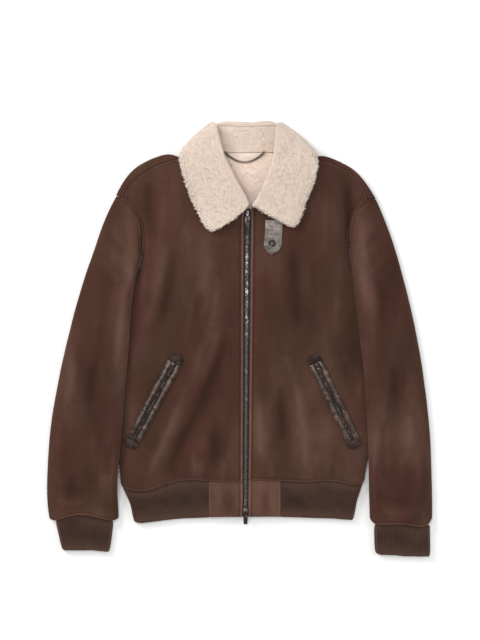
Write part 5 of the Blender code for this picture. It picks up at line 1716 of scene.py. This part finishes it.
# ---- the whole jacket ----
@dataclass
class Jacket:
    """The suede jacket, from its panels to its stitches."""

    finishes: Finishes

    HOLE_ROWS = (2.5, 7.5)  # how far the rows of stitches lie from their seams
    SLEEVE_ROW, SHOULDER_ROW, HEM_ROW, ZIP_ROW = 3.0, 3.0, 4.0, 6.4

    def build(self) -> None:
        """Makes every piece."""
        f = self.finishes
        shell = Shell(f)
        shell.build()
        Ribbing("hem_rib", (745, 62), 5).make(f)
        Ribbing("cuff_right", (182, 58), 9).make(f)
        Ribbing("cuff_left", (178, 58), 13).make(f)
        Collar(f).build(shell.pieces["back"])
        FrontZip(f).build()
        trim = Stitching("trim_stitches", long=2.0, pitch=2.9, thick=0.55)
        Pocket(Side.RIGHT, Body.PULL_RIGHT, f).build(trim)
        Pocket(Side.LEFT, Body.PULL_LEFT, f).build(trim)
        Throat(f).build(trim)
        trim.make(f.dark_thread, Slot.BRAID)
        HangerLoop(f).build()
        self.topstitch(shell.pieces)

    def topstitch(self, pieces: dict[str, Piece]) -> None:
        """Sews the rows beside the seams."""
        thread = Stitching("topstitches")
        for side in Side:
            front, sleeve, end = (surface(pieces[f"{part}_{side.value}"])
                                  for part in ("front", "sleeve", "hem_end"))
            out = -side.sign
            hole, hem, shoulder = (rounded(line[side]) for line in (ARMHOLE, HEM_SEAM, SHOULDER_SEAM))
            edge = ZIP_EDGE[side]
            rows = (*((hole, -out * gap, front) for gap in self.HOLE_ROWS),
                    (shoulder, -out * self.SHOULDER_ROW, front), (hem, self.HEM_ROW, front),
                    (edge, out * self.ZIP_ROW, front), (edge, out * self.ZIP_ROW, end),
                    (hole, out * self.SLEEVE_ROW, sleeve))
            thread.rows += [(beside(line, gap), height) for line, gap, height in rows]
        thread.make(self.finishes.thread, Slot.BRAID)


@dataclass
class Studio:
    """The pale floor, the soft lights and the camera over the middle of the jacket."""

    finishes: Finishes

    CENTRE = (0.8, 34.0)
    HIGH = 3.0  # metres, like the lights' places and sizes
    LENS = 92.3
    AIM = (0, 0.03, 0)
    FLOOR = -0.0006
    WORLD = 0.4
    LIGHTS = (
        ("overhead", (-0.4, 0.5, 3.4), 1.8, 56, (1, 0.995, 0.985)),
        ("key", (-1.7, 1.5, 1.6), 1.0, 42, (1, 0.985, 0.965)),
        ("fill", (2.0, 0.2, 1.6), 1.3, 14, (0.975, 0.985, 1)),
        ("foot", (0.2, -2.2, 1.6), 1.3, 10, (1, 1, 1)),
    )

    def light(self, name: str, place: Sequence[float], size: float, power: float, colour: Colour) -> None:
        """Adds a square area light that faces the jacket."""
        data = bpy.data.lights.new(name, "AREA")
        data.shape, data.size, data.energy, data.color = "SQUARE", size, power, colour
        lamp = bpy.data.objects.new(name, data)
        lamp.location = place
        lamp.rotation_euler = (Vector(self.AIM) - Vector(place)).to_track_quat("-Z", "Y").to_euler()
        bpy.context.scene.collection.objects.link(lamp)

    def build(self) -> None:
        """Sets up the studio."""
        scene = bpy.context.scene
        bpy.ops.mesh.primitive_plane_add(size=9, location=(0, 0, self.FLOOR))
        floor = bpy.context.object
        floor.name = "floor"
        floor.data.materials.append(self.finishes.floor)
        for lamp in self.LIGHTS:
            self.light(*lamp)
        world = bpy.data.worlds.new("studio")
        world.use_nodes = True
        sky = world.node_tree.nodes["Background"].inputs
        sky[0].default_value = (1, 1, 1, 1)
        sky[1].default_value = self.WORLD
        scene.world = world
        data = bpy.data.cameras.new("camera")
        data.lens = self.LENS
        camera = bpy.data.objects.new("camera", data)
        camera.location = (self.CENTRE[0] * MM, self.CENTRE[1] * MM, self.HIGH)
        scene.collection.objects.link(camera)
        scene.camera = camera
        scene.view_settings.view_transform = "Standard"


def main() -> None:
    """Builds the jacket and its studio."""
    logging.basicConfig(level=logging.INFO, format="%(name)s: %(message)s")
    finishes = Finishes()
    Jacket(finishes).build()
    Studio(finishes).build()


if __name__ == "__main__":
    main()
